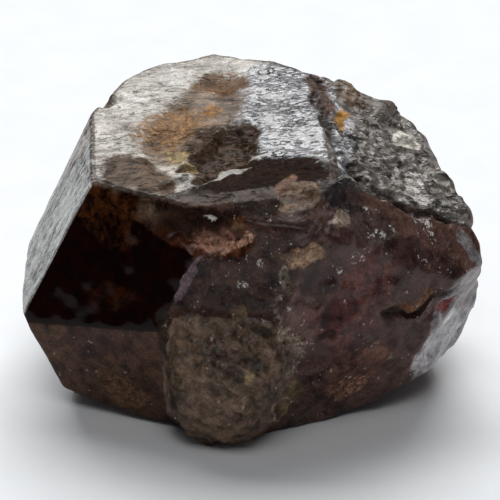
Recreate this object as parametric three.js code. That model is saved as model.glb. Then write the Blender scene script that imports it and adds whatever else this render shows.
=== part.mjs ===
// A rough, uncut zircon crystal grown as one piece: flat crystal faces at the front left and on
// top, an etched hollow in the top, a granular shoulder at the back right, a broken right side
// and a rounded lump low at the front.  Millimetres, +Z up, resting on z = 0.
//
// The stone is described by one distance function.  The flat faces are planes, hollows and bumps
// are patches pressed into them or raised from them, and cracks are seams.  A ball of small
// triangles is then moved along its own rays onto that surface.
import * as THREE from 'three';
import { mergeVertices } from 'three/addons/utils/BufferGeometryUtils.js';

// ---------------------------------------------------------------- driving dimensions

/** Middle of the crystal while it is being shaped: every ray starts here. */
const MIDDLE = new THREE.Vector3(0, 0, 8.4);

/** Final shift that centres the crystal over the origin. */
const SET_DOWN = new THREE.Vector3(-0.06, -2.32, 0);

/** Steps along each side of the ball's twenty triangles: 20 x steps x steps small ones. */
const BALL_STEPS = 22;

/** How softly two crystal faces meet, and how softly the lump's own faces do. */
const EDGE_WEAR = 0.09;
const LUMP_WEAR = 0.5;

/** How softly the lump and the knob grow out of the body. */
const LUMP_BLEND = 0.5;
const KNOB_BLEND = 0.3;

/** How far the hidden back, the chipped foot and the underside lie from the middle. */
const BACK_REACH = 13.25;
const FOOT_REACH = 13.5;
const UNDER_REACH = 9.25;

/** Like faces in a ring: one height angle and one distance, several compass directions. */
function ring(name, height, distance, compasses) {
  return Object.fromEntries(compasses.map((compass, i) => [`${name}${i + 1}`, [compass, height, distance]]));
}

/** Flat faces: [compass direction, height angle (degrees), distance from the middle (mm)]. */
const FACES = {
  // the top, nearly level, and the grown faces at the front left
  top: [-125, 83, 5.75],
  skirt: [-130, 55, 7.75],
  left: [-175, 27, 10],
  window: [-120, 17, 6.75],
  lowLeft: [-115, -15, 7.75],
  // the front and the broken right side
  bevel: [-95, 65, 6.5],
  front: [-100, 10, 6.25],
  rightUp: [-45, 35, 7.75],
  rightMid: [-65, 0, 7],
  rightLow: [-65, -20, 7.5],
  rim: [-35, -20, 10.25],
  right: [15, 5, 12],
  rightUnder: [5, -10, 13.5],
  underRight: [10, -20, 13],
  underRightLow: [-20, -65, 10],
  // the granular shoulder
  shoulder: [-5, 60, 7.5],
  rightTop: [25, 5, BACK_REACH],
  backRightTop: [50, 25, 13.5],
  backRightUp: [45, 10, 13.75],
  // the hidden left side, back and underside
  backLeftUp: [135, 20, 13.5],
  backLeftLow: [155, 20, 12],
  ...ring('sideLeft', -25, 12.5, [170, 185]),
  backTop: [65, 40, 12.25],
  backTopLeft: [110, 40, 13.75],
  backMiddle: [80, -5, 12],
  ...ring('backWall', 0, BACK_REACH, [60, 110, 160]),
  ...ring('foot', -45, FOOT_REACH, [50, 95, 140]),
  underLeftBack: [170, -60, 11.5],
  ...ring('underside', -78, UNDER_REACH, [20, 95, 175, 235]),
  base: [0, -90, MIDDLE.z],
};

/** The lump low at the front, with its own faces about its own middle. */
const LUMP_MIDDLE = new THREE.Vector3(-1, -3.25, 4);
const LUMP_FACES = {
  lumpFront: [-100, 0, 5],
  lumpBrow: [-100, 30, 5.25],
  lumpLow: [-105, -30, 5.5],
  lumpLeft: [-175, 0, 3.75],
  lumpRight: [-10, 0, 3.75],
  lumpLowLeft: [-160, -40, 5],
  lumpLowRight: [-35, -25, 4.25],
  lumpRoof: [-100, 70, 4.5],
  lumpRear: [90, 0, 2],
  lumpFoot: [0, -90, 4],
};

/** The small knob on the right. */
const KNOB = { at: [11.25, 1.75, 9.75], radius: 1.1 };

/**
 * Hollows (positive depth) and bumps (negative depth).  at: right, back and up in mm, where the
 * null is worked out so that the place lies on the flat faces; face: the face it lies along; turn:
 * of the long way; half: half length and half width; soft: share of the half size that slopes.
 */
const PATCHES = [
  // the etched hollow in the top, its small deep parts and the low dome beside it
  {
    name: 'basin', face: 'top', at: [-4.5, 2.5, null],
    turn: 120, half: [4.5, 2.25], depth: 0.55, soft: 0.8,
  },
  { name: 'pit', face: 'top', at: [-1.5, 0.5, null], turn: 100, half: [3.5, 1.5], depth: 0.75, soft: 0.6 },
  { name: 'hole', face: 'top', at: [-3.5, -0.5, null], turn: 20, half: [0.8, 0.6], depth: 0.55, soft: 0.6 },
  { name: 'spill', face: 'top', at: [-4, -2.25, null], turn: 90, half: [1.5, 0.7], depth: 0.3, soft: 0.8 },
  { name: 'lobe', face: 'top', at: [-6.5, -1, null], turn: 150, half: [2.5, 1.5], depth: -0.12, soft: 0.9 },
  { name: 'dimple', face: 'top', at: [-1.5, 9, null], turn: 0, half: [1.25, 1.5], depth: 0.25, soft: 0.7 },
  {
    name: 'nick', face: 'backLeftUp', at: [-8, 7.75, null],
    turn: 0, half: [0.8, 0.8], depth: 0.35, soft: 0.6,
  },
  // the shell-shaped break under the front rim
  { name: 'shell', face: 'front', at: [-2.5, null, 12.25], turn: 0, half: [3, 1.5], depth: 0.7, soft: 0.8 },
  {
    name: 'shellDeep', face: 'bevel', at: [-2.5, null, 13],
    turn: 0, half: [1.75, 0.8], depth: 0.2, soft: 0.9,
  },
  // flakes and scars of the broken right side
  { name: 'fan', face: 'bevel', at: [2.5, -4, null], turn: 80, half: [1.4, 1.2], depth: 0.1, soft: 0.6 },
  {
    name: 'lens', face: 'rightUp', at: [3.75, null, 12.5],
    turn: 10, half: [1.75, 0.75], depth: 0.25, soft: 0.6,
  },
  {
    name: 'sill', face: 'rightMid', at: [3.5, null, 11.25],
    turn: 10, half: [1.25, 0.5], depth: -0.15, soft: 0.8,
  },
  {
    name: 'undercut', face: 'rightMid', at: [10.5, null, 6.5],
    turn: 10, half: [1.5, 0.75], depth: 0.35, soft: 0.8,
  },
  {
    name: 'blot', face: 'rightLow', at: [4, null, 3.5],
    turn: 70, half: [1.1, 0.75], depth: 0.2, soft: 0.6,
  },
  {
    name: 'scar', face: 'rightMid', at: [6.75, null, 9.5],
    turn: 30, half: [2.5, 1.75], depth: 0.2, soft: 0.9,
  },
  {
    name: 'scarLow', face: 'rightLow', at: [6.75, null, 2.5],
    turn: 160, half: [2.5, 1.5], depth: 0.2, soft: 0.9,
  },
  {
    name: 'grain', face: 'shoulder', at: [8.75, 6.75, null],
    turn: 80, half: [0.9, 0.7], depth: -0.3, soft: 0.6,
  },
  // scars on the back
  {
    name: 'backScar', face: 'backMiddle', at: [1, null, 9],
    turn: 15, half: [4.25, 2.5], depth: 0.7, soft: 0.7,
  },
  {
    name: 'backLow', face: 'backWall2', at: [-5.5, null, 4.5],
    turn: 60, half: [3.25, 2], depth: 0.5, soft: 0.7,
  },
  {
    name: 'backRight', face: 'backRightUp', at: [8, null, 7],
    turn: 100, half: [2.75, 2], depth: 0.5, soft: 0.7,
  },
];

/**
 * Cracks and creases along a line of places, each with one null as above; from: the face whose side
 * of the stone they are seen on; width and depth in mm.
 */
const SEAMS = [
  // where the top meets the shoulder, then down beside the broken side
  {
    name: 'shoulder',
    from: 'top',
    points: [[3.75, 8.5, null], [3.75, 6, null], [4.75, 1.25, null], [5.5, -0.75, null], [6.25, -1.75, null],
      [7.5, -1.75, null], [9, -1.25, null], [10.75, -0.5, null]],
    width: 0.32,
    depth: 0.35,
  },
  // the crusted ridge right of the lump
  {
    name: 'crust',
    from: 'front',
    points: [[2.25, null, 10.5], [1.5, null, 8.5], [1.5, null, 7.5], [2.5, null, 6], [2.5, null, 5],
      [2.25, null, 3.5], [1.5, null, 1.75], [1, null, 0.5]],
    width: 0.28,
    depth: 0.3,
  },
  // the creases left of the lump and over it
  {
    name: 'crease',
    from: 'front',
    points: [[-4.75, null, 7], [-4.75, null, 5.5], [-4.5, null, 3.75], [-4.25, null, 2], [-4, null, 0.5]],
    width: 0.3,
    depth: 0.3,
  },
  {
    name: 'brow',
    from: 'front',
    points: [[-4.25, null, 7], [-2.75, null, 7.25], [-0.5, null, 7.5], [1.5, null, 7.25]],
    width: 0.28,
    depth: 0.18,
  },
  // the split under the right rim and a short slot beside the lump
  {
    name: 'notch',
    from: 'rightMid',
    points: [[7.5, null, 6.5], [8.75, null, 7], [10.25, null, 7.25], [11.25, null, 7.5]],
    width: 0.28,
    depth: 0.4,
  },
  {
    name: 'slot', from: 'rightMid', points: [[3.5, null, 6], [4.75, null, 6.25]],
    width: 0.26, depth: 0.28,
  },
];

/** Which faces are granular, which are broken rather than grown, and which are the hidden back. */
const GRANULAR = ['shoulder', 'backRightTop', 'backRightUp', 'rightTop'];
const BROKEN = [
  'rightUp', 'rightMid', 'rightLow', 'rim', 'right', 'rightUnder', 'underRight', 'underRightLow',
];
const HIDDEN = ['backTop', 'backMiddle', 'backWall1', 'backWall2', 'foot1', 'foot2', 'underside1', 'underside2',
  'underside3'];

/** The granular ground: a field of small tilted planes in a box round the shoulder. */
const GRAINS = {
  seed: 61, at: [8.0, 3.5, 12.5], reach: [5.0, 8.0, 4.0], count: 300, tilt: 0.4, step: 0.08, sharp: 6,
};

/** Anything closer to the smooth body than this carries detail. */
const DETAIL_REACH = 1.2;

/** Rounds in which the triangles are evened out and pulled onto the sharp edges. */
const SETTLE_ROUNDS = 4;
const SHARP_EDGE = 0.93;
const PULL_LIMIT = 0.5;

// ---------------------------------------------------------------- small helpers

/** Smooth step from 0 to 1. */
function smooth(x) {
  const t = Math.min(Math.max(x, 0), 1);
  return t * t * (3 - 2 * t);
}

/** Unit vector from a compass direction and a height angle, in degrees. */
function direction(compass, height) {
  const a = THREE.MathUtils.degToRad(compass);
  const e = THREE.MathUtils.degToRad(height);
  return new THREE.Vector3(Math.cos(e) * Math.cos(a), Math.cos(e) * Math.sin(a), Math.sin(e));
}

/** Repeatable random numbers between 0 and 1. */
function seeded(seed) {
  let state = seed;
  const draw = () => {
    state = (state * 48271) % 2147483647;
    return state / 2147483647;
  };
  for (let i = 0; i < 5; i += 1) {
    draw();
  }
  return draw;
}

/** Random unit vector. */
function anyWay(draw) {
  const z = 2 * draw() - 1;
  const a = 2 * Math.PI * draw();
  const r = Math.sqrt(1 - z * z);
  return new THREE.Vector3(r * Math.cos(a), r * Math.sin(a), z);
}

/** Soft joining of two distances: the nearer one wins, with a blend this wide. */
function join(a, b, blend) {
  const h = Math.min(Math.max(0.5 + (0.5 * (b - a)) / blend, 0), 1);
  return b * (1 - h) + a * h - blend * h * (1 - h);
}

/** Gentle waves with lengths (mm) near the given one; about -2 to 2. */
class Waves {
  constructor(seed, count, length) {
    const draw = seeded(seed);
    this.waves = [];
    for (let i = 0; i < count; i += 1) {
      const along = anyWay(draw);
      along.multiplyScalar((2 * Math.PI) / (length * (0.65 + 0.7 * draw())));
      this.waves.push({ along, phase: 2 * Math.PI * draw() });
    }
    this.scale = Math.sqrt(2 / count);
  }

  at(p) {
    let sum = 0;
    for (const { along, phase } of this.waves) {
      sum += Math.sin(along.dot(p) + phase);
    }
    return sum * this.scale;
  }
}

/** Rough ground: many small tilted planes that blend into one another. */
class Grains {
  constructor({ seed, at, reach, count, tilt, step, sharp }) {
    const draw = seeded(seed);
    this.sharp = sharp;
    this.grains = [];
    for (let i = 0; i < count; i += 1) {
      const place = new THREE.Vector3(...at.map((middle, axis) => middle + (2 * draw() - 1) * reach[axis]));
      const lean = anyWay(draw).multiplyScalar(tilt * draw());
      this.grains.push({ place, lean, rise: step * (2 * draw() - 1) });
    }
  }

  at(p) {
    const away = this.grains.map((grain) => grain.place.distanceToSquared(p));
    const nearest = Math.min(...away);
    let sum = 0;
    let total = 0;
    this.grains.forEach(({ place, lean, rise }, i) => {
      const weight = Math.exp(-(away[i] - nearest) * this.sharp);
      if (weight > 1e-6) {
        sum += weight * (rise + lean.dot(p) - lean.dot(place));
        total += weight;
      }
    });
    return sum / total;
  }
}

/** A closed body of flat faces about a middle. */
class FacedBody {
  constructor(middle, faces, wear) {
    this.middle = middle;
    this.wear = wear;
    this.names = Object.keys(faces);
    this.planes = Object.values(faces).map(([compass, height, distance]) => ({
      normal: direction(compass, height),
      distance,
    }));
  }

  /** Outward direction of a named face, or undefined where this body has no such face. */
  facing(name) {
    return this.planes[this.names.indexOf(name)]?.normal;
  }

  /** How far along one axis the flat faces reach from a place, or -Infinity where the line misses. */
  reach(place, axis, way) {
    const q = place.clone().sub(this.middle);
    let enter = -Infinity;
    let leave = Infinity;
    for (const { normal, distance } of this.planes) {
      const slope = normal.getComponent(axis) * way;
      const cut = (distance - normal.dot(q)) / slope;
      if (slope > 0) {
        leave = Math.min(leave, cut);
      } else if (slope < 0) {
        enter = Math.max(enter, cut);
      }
    }
    return enter < leave ? leave : -Infinity;
  }

  /** Distance of a point outside each face (negative inside). */
  heights(p) {
    const q = p.clone().sub(this.middle);
    return this.planes.map(({ normal, distance }) => normal.dot(q) - distance);
  }

  /** Distance outside the whole body, its edges worn. */
  distance(heights) {
    const most = Math.max(...heights);
    const sum = heights.reduce((total, h) => total + Math.exp((h - most) / this.wear), 0);
    return most + this.wear * Math.log(sum);
  }

  /** How far a point belongs to the named faces, 0 to 1. */
  belongs(heights, names) {
    let own = -Infinity;
    let other = -Infinity;
    heights.forEach((h, i) => {
      if (names.includes(this.names[i])) {
        own = Math.max(own, h);
      } else {
        other = Math.max(other, h);
      }
    });
    return smooth((own - other) / 0.5 + 0.5);
  }
}

/** A hollow pressed into the surface or a bump raised from it. */
class Patch {
  constructor({ turn, half, depth, soft }, place, out) {
    this.place = place;
    this.out = out;
    const side = new THREE.Vector3(0, 0, 1).cross(this.out).normalize();
    this.long = side.clone().applyAxisAngle(this.out, THREE.MathUtils.degToRad(turn));
    this.wide = this.out.clone().cross(this.long);
    this.half = half;
    this.depth = depth;
    this.soft = soft;
  }

  /** How much of the full depth is reached at a point, 0 to 1. */
  share(p) {
    const q = p.clone().sub(this.place);
    const away = Math.hypot(q.dot(this.long) / this.half[0], q.dot(this.wide) / this.half[1]);
    const near = smooth(1.5 - Math.abs(q.dot(this.out)) / Math.max(...this.half));
    return smooth((1 - away) / this.soft) * near;
  }
}

/** A crack or crease along a line of points. */
class Seam {
  constructor({ width, depth }, places) {
    this.parts = places.slice(1).map((place, i) => new THREE.Line3(places[i], place));
    this.width = width;
    this.depth = depth;
    this.nearest = new THREE.Vector3();
  }

  /** How much of the full depth is reached at a point, 0 to 1. */
  share(p) {
    let away = Infinity;
    for (const part of this.parts) {
      part.closestPointToPoint(p, true, this.nearest);
      away = Math.min(away, this.nearest.distanceTo(p));
    }
    return Math.exp(-((away / this.width) ** 2));
  }
}

// ---------------------------------------------------------------- the crystal's surface

/** The whole crystal as one distance function. */
class Crystal {
  constructor() {
    this.body = new FacedBody(MIDDLE, FACES, EDGE_WEAR);
    this.lump = new FacedBody(LUMP_MIDDLE, LUMP_FACES, LUMP_WEAR);
    this.knob = new THREE.Sphere(new THREE.Vector3(...KNOB.at), KNOB.radius);
    this.patches = new Map(PATCHES.map((patch) => {
      const out = this.facing(patch.face);
      return [patch.name, new Patch(patch, this.laid(patch.at, out), out)];
    }));
    this.seams = SEAMS.map((seam) => {
      const out = this.facing(seam.from);
      return new Seam(seam, seam.points.map((point) => this.laid(point, out)));
    });
    this.grains = new Grains(GRAINS);
    this.broadBend = [11, 12, 13].map((seed) => new Waves(seed, 7, 2.6));
    this.smallBend = [31, 32, 33].map((seed) => new Waves(seed, 7, 0.9));
    this.broad = new Waves(52, 10, 3.0);
    this.fine = new Waves(51, 16, 1.1);
    this.tiny = new Waves(53, 20, 0.55);
  }

  /** Outward direction of a named face of the body or the lump. */
  facing(name) {
    return this.body.facing(name) ?? this.lump.facing(name);
  }

  /** The place on the flat faces whose null coordinate is worked out, seen from the side given. */
  laid(at, out) {
    const axis = at.indexOf(null);
    const way = Math.sign(out.getComponent(axis));
    const place = new THREE.Vector3(...at.map((value) => value ?? 0));
    const reach = Math.max(this.body.reach(place, axis, way), this.lump.reach(place, axis, way));
    return place.setComponent(axis, way * reach);
  }

  /** Distance outside the smooth body, before any detail. */
  smoothDistance(p, heights) {
    const body = this.body.distance(heights);
    const lump = this.lump.distance(this.lump.heights(p));
    const grown = join(join(body, lump, LUMP_BLEND), this.knob.distanceToPoint(p), KNOB_BLEND);
    return { grown, lump: lump - body };
  }

  /** The point moved a little, so that patches and seams get uneven outlines. */
  bent(p) {
    const shift = this.broadBend.map((waves, i) => 0.16 * waves.at(p) + 0.06 * this.smallBend[i].at(p));
    return new THREE.Vector3(...shift).add(p);
  }

  /** Depth of all detail at a point: positive goes into the stone. */
  detail(p, heights, lump) {
    const q = this.bent(p);
    let depth = 0;
    for (const patch of this.patches.values()) {
      depth += patch.depth * patch.share(q);
    }
    for (const seam of this.seams) {
      depth += seam.depth * seam.share(q);
    }
    const broad = this.broad.at(p);
    const fine = this.fine.at(p);
    const granular = this.body.belongs(heights, GRANULAR);
    if (granular > 0.01) {
      depth += granular * (this.grains.at(p) + 0.05 * fine);
    }
    depth += this.body.belongs(heights, BROKEN) * (0.04 * broad + 0.02 * fine);
    depth += this.body.belongs(heights, HIDDEN) * (0.12 * broad + 0.05 * fine);
    depth += (0.012 + 0.035 * this.body.belongs(heights, ['top'])) * broad;
    depth += smooth(0.5 - lump / 0.5) * (0.07 * fine + 0.05 * broad);
    const etched = Math.max(this.patches.get('pit').share(q), 0.4 * this.patches.get('basin').share(q));
    depth += etched * 0.07 * this.tiny.at(p);
    return depth * (1 - this.body.belongs(heights, ['base']));
  }

  /** Distance outside the finished crystal. */
  distance(p) {
    const heights = this.body.heights(p);
    const { grown, lump } = this.smoothDistance(p, heights);
    if (Math.abs(grown) > DETAIL_REACH) {
      return grown;
    }
    const fade = smooth(1.6 - Math.abs(grown) / 0.8);
    return Math.max(grown + fade * this.detail(p, heights, lump), -p.z);
  }

  /** The surface point on the ray from the middle through a point. */
  surfaceThrough(p) {
    const ray = new THREE.Ray(MIDDLE, p.clone().sub(MIDDLE).normalize());
    const point = new THREE.Vector3();
    let inside = 3;
    let outside = 20;
    for (let i = 0; i < 24; i += 1) {
      const middle = (inside + outside) / 2;
      if (this.distance(ray.at(middle, point)) < 0) {
        inside = middle;
      } else {
        outside = middle;
      }
    }
    ray.at(inside, point);
    if (point.z < 0.02) {
      point.z = 0;
    }
    return point;
  }

  /** Outward direction of the surface at a point. */
  normal(p) {
    const step = 0.06;
    const slope = ['x', 'y', 'z'].map((axis) => {
      const ahead = p.clone();
      const behind = p.clone();
      ahead[axis] += step;
      behind[axis] -= step;
      return this.distance(ahead) - this.distance(behind);
    });
    return new THREE.Vector3(...slope).normalize();
  }
}

// ---------------------------------------------------------------- the triangles

/** The neighbours of every vertex of an indexed geometry. */
function neighboursOf(geometry) {
  const around = Array.from({ length: geometry.attributes.position.count }, () => new Set());
  const index = geometry.index.array;
  for (let i = 0; i < index.length; i += 3) {
    for (let side = 0; side < 3; side += 1) {
      around[index[i + side]].add(index[i + ((side + 1) % 3)]);
      around[index[i + side]].add(index[i + ((side + 2) % 3)]);
    }
  }
  return around.map((set) => [...set]);
}

/** The point that lies best on all the given tangent planes, held softly near its start. */
function bestMeeting(start, planes) {
  const hold = 0.05;
  const rows = new THREE.Matrix3().set(hold, 0, 0, 0, hold, 0, 0, 0, hold);
  const push = new THREE.Vector3();
  for (const { point, normal } of planes) {
    const n = normal.toArray();
    for (let i = 0; i < 9; i += 1) {
      rows.elements[i] += n[i % 3] * n[Math.floor(i / 3)];
    }
    push.addScaledVector(normal, point.clone().sub(start).dot(normal));
  }
  return push.applyMatrix3(rows.invert()).add(start);
}

/** Evens out the triangles and pulls those beside a sharp edge onto it. */
function settle(points, around, crystal) {
  const fixed = new Set();
  for (let round = 0; round < SETTLE_ROUNDS; round += 1) {
    const normals = points.map((point) => crystal.normal(point));
    const moved = points.map((point, i) => {
      if (fixed.has(i) || point.z === 0) {
        return point;
      }
      const near = around[i];
      const spacing = near.reduce((sum, j) => sum + points[j].distanceTo(point), 0) / near.length;
      if (near.some((j) => normals[j].dot(normals[i]) < SHARP_EDGE)) {
        const planes = [i, ...near].map((j) => ({ point: points[j], normal: normals[j] }));
        const meeting = bestMeeting(point, planes);
        if (meeting.distanceTo(point) < PULL_LIMIT * spacing) {
          fixed.add(i);
          return crystal.surfaceThrough(meeting);
        }
      }
      const even = near.reduce((sum, j) => sum.add(points[j]), new THREE.Vector3()).divideScalar(near.length);
      return crystal.surfaceThrough(even.lerp(point, 0.5));
    });
    moved.forEach((point, i) => points[i].copy(point));
  }
}

/** The crystal as one closed skin of triangles. */
function crystalGeometry() {
  const crystal = new Crystal();
  const ball = new THREE.IcosahedronGeometry(1, BALL_STEPS - 1);
  ball.deleteAttribute('normal');
  ball.deleteAttribute('uv');
  const geometry = mergeVertices(ball, 1e-5);
  const position = geometry.attributes.position;
  const points = Array.from({ length: position.count }, (_, i) => (
    crystal.surfaceThrough(new THREE.Vector3().fromBufferAttribute(position, i).add(MIDDLE))
  ));
  settle(points, neighboursOf(geometry), crystal);
  points.forEach((point, i) => position.setXYZ(i, ...point.add(SET_DOWN).toArray()));
  geometry.computeVertexNormals();
  return geometry;
}

// ---------------------------------------------------------------- the part

const stone = new THREE.MeshStandardMaterial({ color: 0x3c211a, roughness: 0.22, metalness: 0 });

const part = new THREE.Group();
part.name = 'rough_zircon_crystal';

const crystalMesh = new THREE.Mesh(crystalGeometry(), stone);
crystalMesh.name = 'zircon_crystal';
part.add(crystalMesh);

export default part;
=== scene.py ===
"""A rough, uncut zircon crystal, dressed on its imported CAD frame.

The stone is one closed skin.  A distance function describes it: flat crystal faces, a lump low at
the front, hollows, scars and cracks.  A ball of small triangles is moved along its own rays onto
that surface, and every vertex keeps how strongly it belongs to each kind of ground (glassy face,
frosted top, etched hollow, granular shoulder ...), which the procedural material reads.

Shaping is done in millimetres about the crystal's middle; the meshes are in metres, in the row
frame.
"""

from __future__ import annotations

import logging
import math
from collections.abc import Callable
from dataclasses import dataclass, field, replace
from enum import Enum
import bpy  # noqa: E402
import numpy as np  # noqa: E402
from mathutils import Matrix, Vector  # noqa: E402


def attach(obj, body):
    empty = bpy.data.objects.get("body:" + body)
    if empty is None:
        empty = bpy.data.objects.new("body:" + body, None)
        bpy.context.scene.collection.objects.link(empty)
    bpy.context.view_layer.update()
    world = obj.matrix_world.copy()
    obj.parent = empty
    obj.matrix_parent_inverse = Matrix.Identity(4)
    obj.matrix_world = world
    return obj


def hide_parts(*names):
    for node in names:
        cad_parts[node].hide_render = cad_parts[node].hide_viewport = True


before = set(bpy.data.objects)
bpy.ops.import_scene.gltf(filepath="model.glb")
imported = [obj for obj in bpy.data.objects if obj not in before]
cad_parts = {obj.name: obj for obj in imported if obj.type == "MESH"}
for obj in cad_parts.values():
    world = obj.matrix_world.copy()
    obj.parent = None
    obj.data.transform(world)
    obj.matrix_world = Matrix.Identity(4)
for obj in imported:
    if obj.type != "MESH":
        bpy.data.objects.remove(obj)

LOG = logging.getLogger("zircon")
NODE = "zircon_crystal"
MM = 0.001
MM_PER_M = 1000.0

MIDDLE = (0.0, 0.0, 8.4)
"""Middle of the crystal while it is being shaped, mm: every ray starts here."""

# How far the hidden back, the chipped foot and the underside lie from the middle, mm.
BACK_REACH = 13.25
FOOT_REACH = 13.5
UNDER_REACH = 9.25

SET_DOWN = (-0.06, -2.32, 0.0)
"""Final shift that centres the crystal over the origin, mm."""

LEFT_FACE = (-175.0, 27.0)
"""Which way the left face looks: compass direction and height angle, degrees."""

LEVEL = 1e-9
"""A line that leans less than this against a face never meets it."""

# Repeatable random numbers: whole numbers below PRIME, each one the last one times RANDOM_STEP.
PRIME = 2147483647
RANDOM_STEP = 48271

# How the three numbers of a cell, a seed and a kind are mixed into one random number.
CELL_STEPS = (73856093, 19349663, 83492791)
KIND_STEP = 101
SEED_STEP = 7919
MIX_STEPS = (RANDOM_STEP, 69621, 16807)
MIX_SHIFT = 12345

Array = np.ndarray
Colour = tuple[float, float, float]

# ------------------------------------------------------------------------ small mathematics


def smooth(x: Array) -> Array:
    """Smooth step from 0 to 1."""
    t = np.clip(x, 0.0, 1.0)
    return t * t * (3.0 - 2.0 * t)


def direction(compass: float, height: float) -> Array:
    """Unit vector from a compass direction and a height angle, in degrees."""
    a, e = math.radians(compass), math.radians(height)
    return np.array([math.cos(e) * math.cos(a), math.cos(e) * math.sin(a), math.sin(e)])


def join(a: Array, b: Array, blend: float) -> Array:
    """Soft joining of two distances: the nearer one wins, with a blend this wide."""
    h = np.clip(0.5 + 0.5 * (b - a) / blend, 0.0, 1.0)
    return b * (1.0 - h) + a * h - blend * h * (1.0 - h)


class Seeded:
    """Repeatable random numbers between 0 and 1."""

    first_dropped: int = 5

    def __init__(self, seed: int) -> None:
        """Starts the numbers and drops the first few.

        Args:
            seed: a whole number; the same one gives the same numbers.
        """
        self.state = seed
        for _ in range(self.first_dropped):
            self.draw()

    def draw(self) -> float:
        """The next number."""
        self.state = self.state * RANDOM_STEP % PRIME
        return self.state / PRIME

    def any_way(self) -> Array:
        """A random direction.

        Returns:
            A unit vector, every direction as likely as any other.
        """
        z = 2.0 * self.draw() - 1.0
        a = 2.0 * math.pi * self.draw()
        r = math.sqrt(1.0 - z * z)
        return np.array([r * math.cos(a), r * math.sin(a), z])


class Waves:
    """Gentle waves with lengths (mm) near the given one; about -2 to 2."""

    shortest: float = 0.65
    spread: float = 0.7

    def __init__(self, seed: int, count: int, length: float) -> None:
        """Draws the waves' directions, lengths and phases.

        Args:
            seed: of the random numbers.
            count: how many waves are added up.
            length: their usual length, mm.
        """
        rng = Seeded(seed)
        along, phase = [], []
        for _ in range(count):
            way = rng.any_way()
            along.append(way * 2.0 * math.pi / (length * (self.shortest + self.spread * rng.draw())))
            phase.append(2.0 * math.pi * rng.draw())
        self.along = np.array(along)
        self.phase = np.array(phase)
        self.scale = math.sqrt(2.0 / count)

    def at(self, p: Array) -> Array:
        """Height of the waves at each point."""
        return np.sin(p @ self.along.T + self.phase).sum(axis=1) * self.scale


@dataclass(frozen=True)
class Grains:
    """Rough ground: many small tilted planes that blend into one another."""

    seed: int
    at_mm: tuple[float, float, float]
    reach: tuple[float, float, float]
    count: int
    tilt: float
    step: float
    sharp: float

    def field(self) -> tuple[Array, Array, Array]:
        """Draws the grains.

        Returns:
            The place (mm), the lean and the rise (mm) of each grain.
        """
        rng = Seeded(self.seed)
        place, lean, rise = [], [], []
        for _ in range(self.count):
            place.append([m + (2.0 * rng.draw() - 1.0) * r for m, r in zip(self.at_mm, self.reach)])
            way = rng.any_way()
            lean.append(way * self.tilt * rng.draw())
            rise.append(self.step * (2.0 * rng.draw() - 1.0))
        return np.array(place), np.array(lean), np.array(rise)

    def at(self, p: Array) -> Array:
        """Height of the grains' blended planes.

        Args:
            p: points, mm.

        Returns:
            One height, mm, for each point.
        """
        place, lean, rise = self.field()
        away = (p**2).sum(axis=1)[:, None] - 2.0 * p @ place.T + (place**2).sum(axis=1)[None]
        weight = np.exp(-(away - away.min(axis=1, keepdims=True)) * self.sharp)
        height = rise[None] + p @ lean.T - (place * lean).sum(axis=1)[None]
        return (weight * height).sum(axis=1) / weight.sum(axis=1)


Face = tuple[float, float, float]
Place = tuple[float | None, float | None, float | None]


def ring(name: str, height: float, distance: float, compasses: tuple[float, ...]) -> dict[str, Face]:
    """Like faces in a ring: one height angle and one distance, several compass directions."""
    return {f"{name}_{i + 1}": (compass, height, distance) for i, compass in enumerate(compasses)}


@dataclass(frozen=True)
class FacedBody:
    """A closed body of flat faces about a middle (mm): compass, height angle, distance."""

    middle: tuple[float, float, float]
    faces: dict[str, Face]
    wear: float

    def reach(self, place: Array, axis: int, way: float) -> float:
        """How far along one axis the flat faces reach from a place.

        Args:
            place: a point, mm, whose own value on that axis is 0.
            axis: 0, 1 or 2 for right, back and up.
            way: 1 or -1, the way to go along the axis.

        Returns:
            The distance, mm, or minus infinity where the line misses the body.
        """
        q = place - np.array(self.middle)
        enter, leave = -math.inf, math.inf
        for compass, height, distance in self.faces.values():
            normal = direction(compass, height)
            slope = normal[axis] * way
            if abs(slope) < LEVEL:
                continue
            cut = (distance - normal @ q) / slope
            if slope > 0.0:
                leave = min(leave, cut)
            else:
                enter = max(enter, cut)
        return leave if enter < leave else -math.inf

    def heights(self, p: Array) -> Array:
        """Distance of each point outside each face.

        Args:
            p: points, mm.

        Returns:
            A row for each point with one number, mm, for each face; negative inside.
        """
        normals = np.array([direction(c, h) for c, h, _ in self.faces.values()])
        distances = np.array([d for _, _, d in self.faces.values()])
        return (p - np.array(self.middle)) @ normals.T - distances

    def distance(self, heights: Array) -> Array:
        """Distance outside the whole body, its edges worn.

        Args:
            heights: distance of each point outside each face, mm.

        Returns:
            One number, mm, for each point.
        """
        most = heights.max(axis=1)
        total = np.exp((heights - most[:, None]) / self.wear).sum(axis=1)
        return most + self.wear * np.log(total)

    def belongs(self, heights: Array, names: tuple[str, ...], width: float = 0.5) -> Array:
        """How far each point belongs to some of the faces.

        Args:
            heights: distance of each point outside each face, mm.
            names: the faces.
            width: how wide the change to other faces is, mm.

        Returns:
            0 to 1 for each point.
        """
        own = np.array([name in names for name in self.faces])
        gap = heights[:, own].max(axis=1) - heights[:, ~own].max(axis=1)
        return smooth(gap / width + 0.5)


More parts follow.
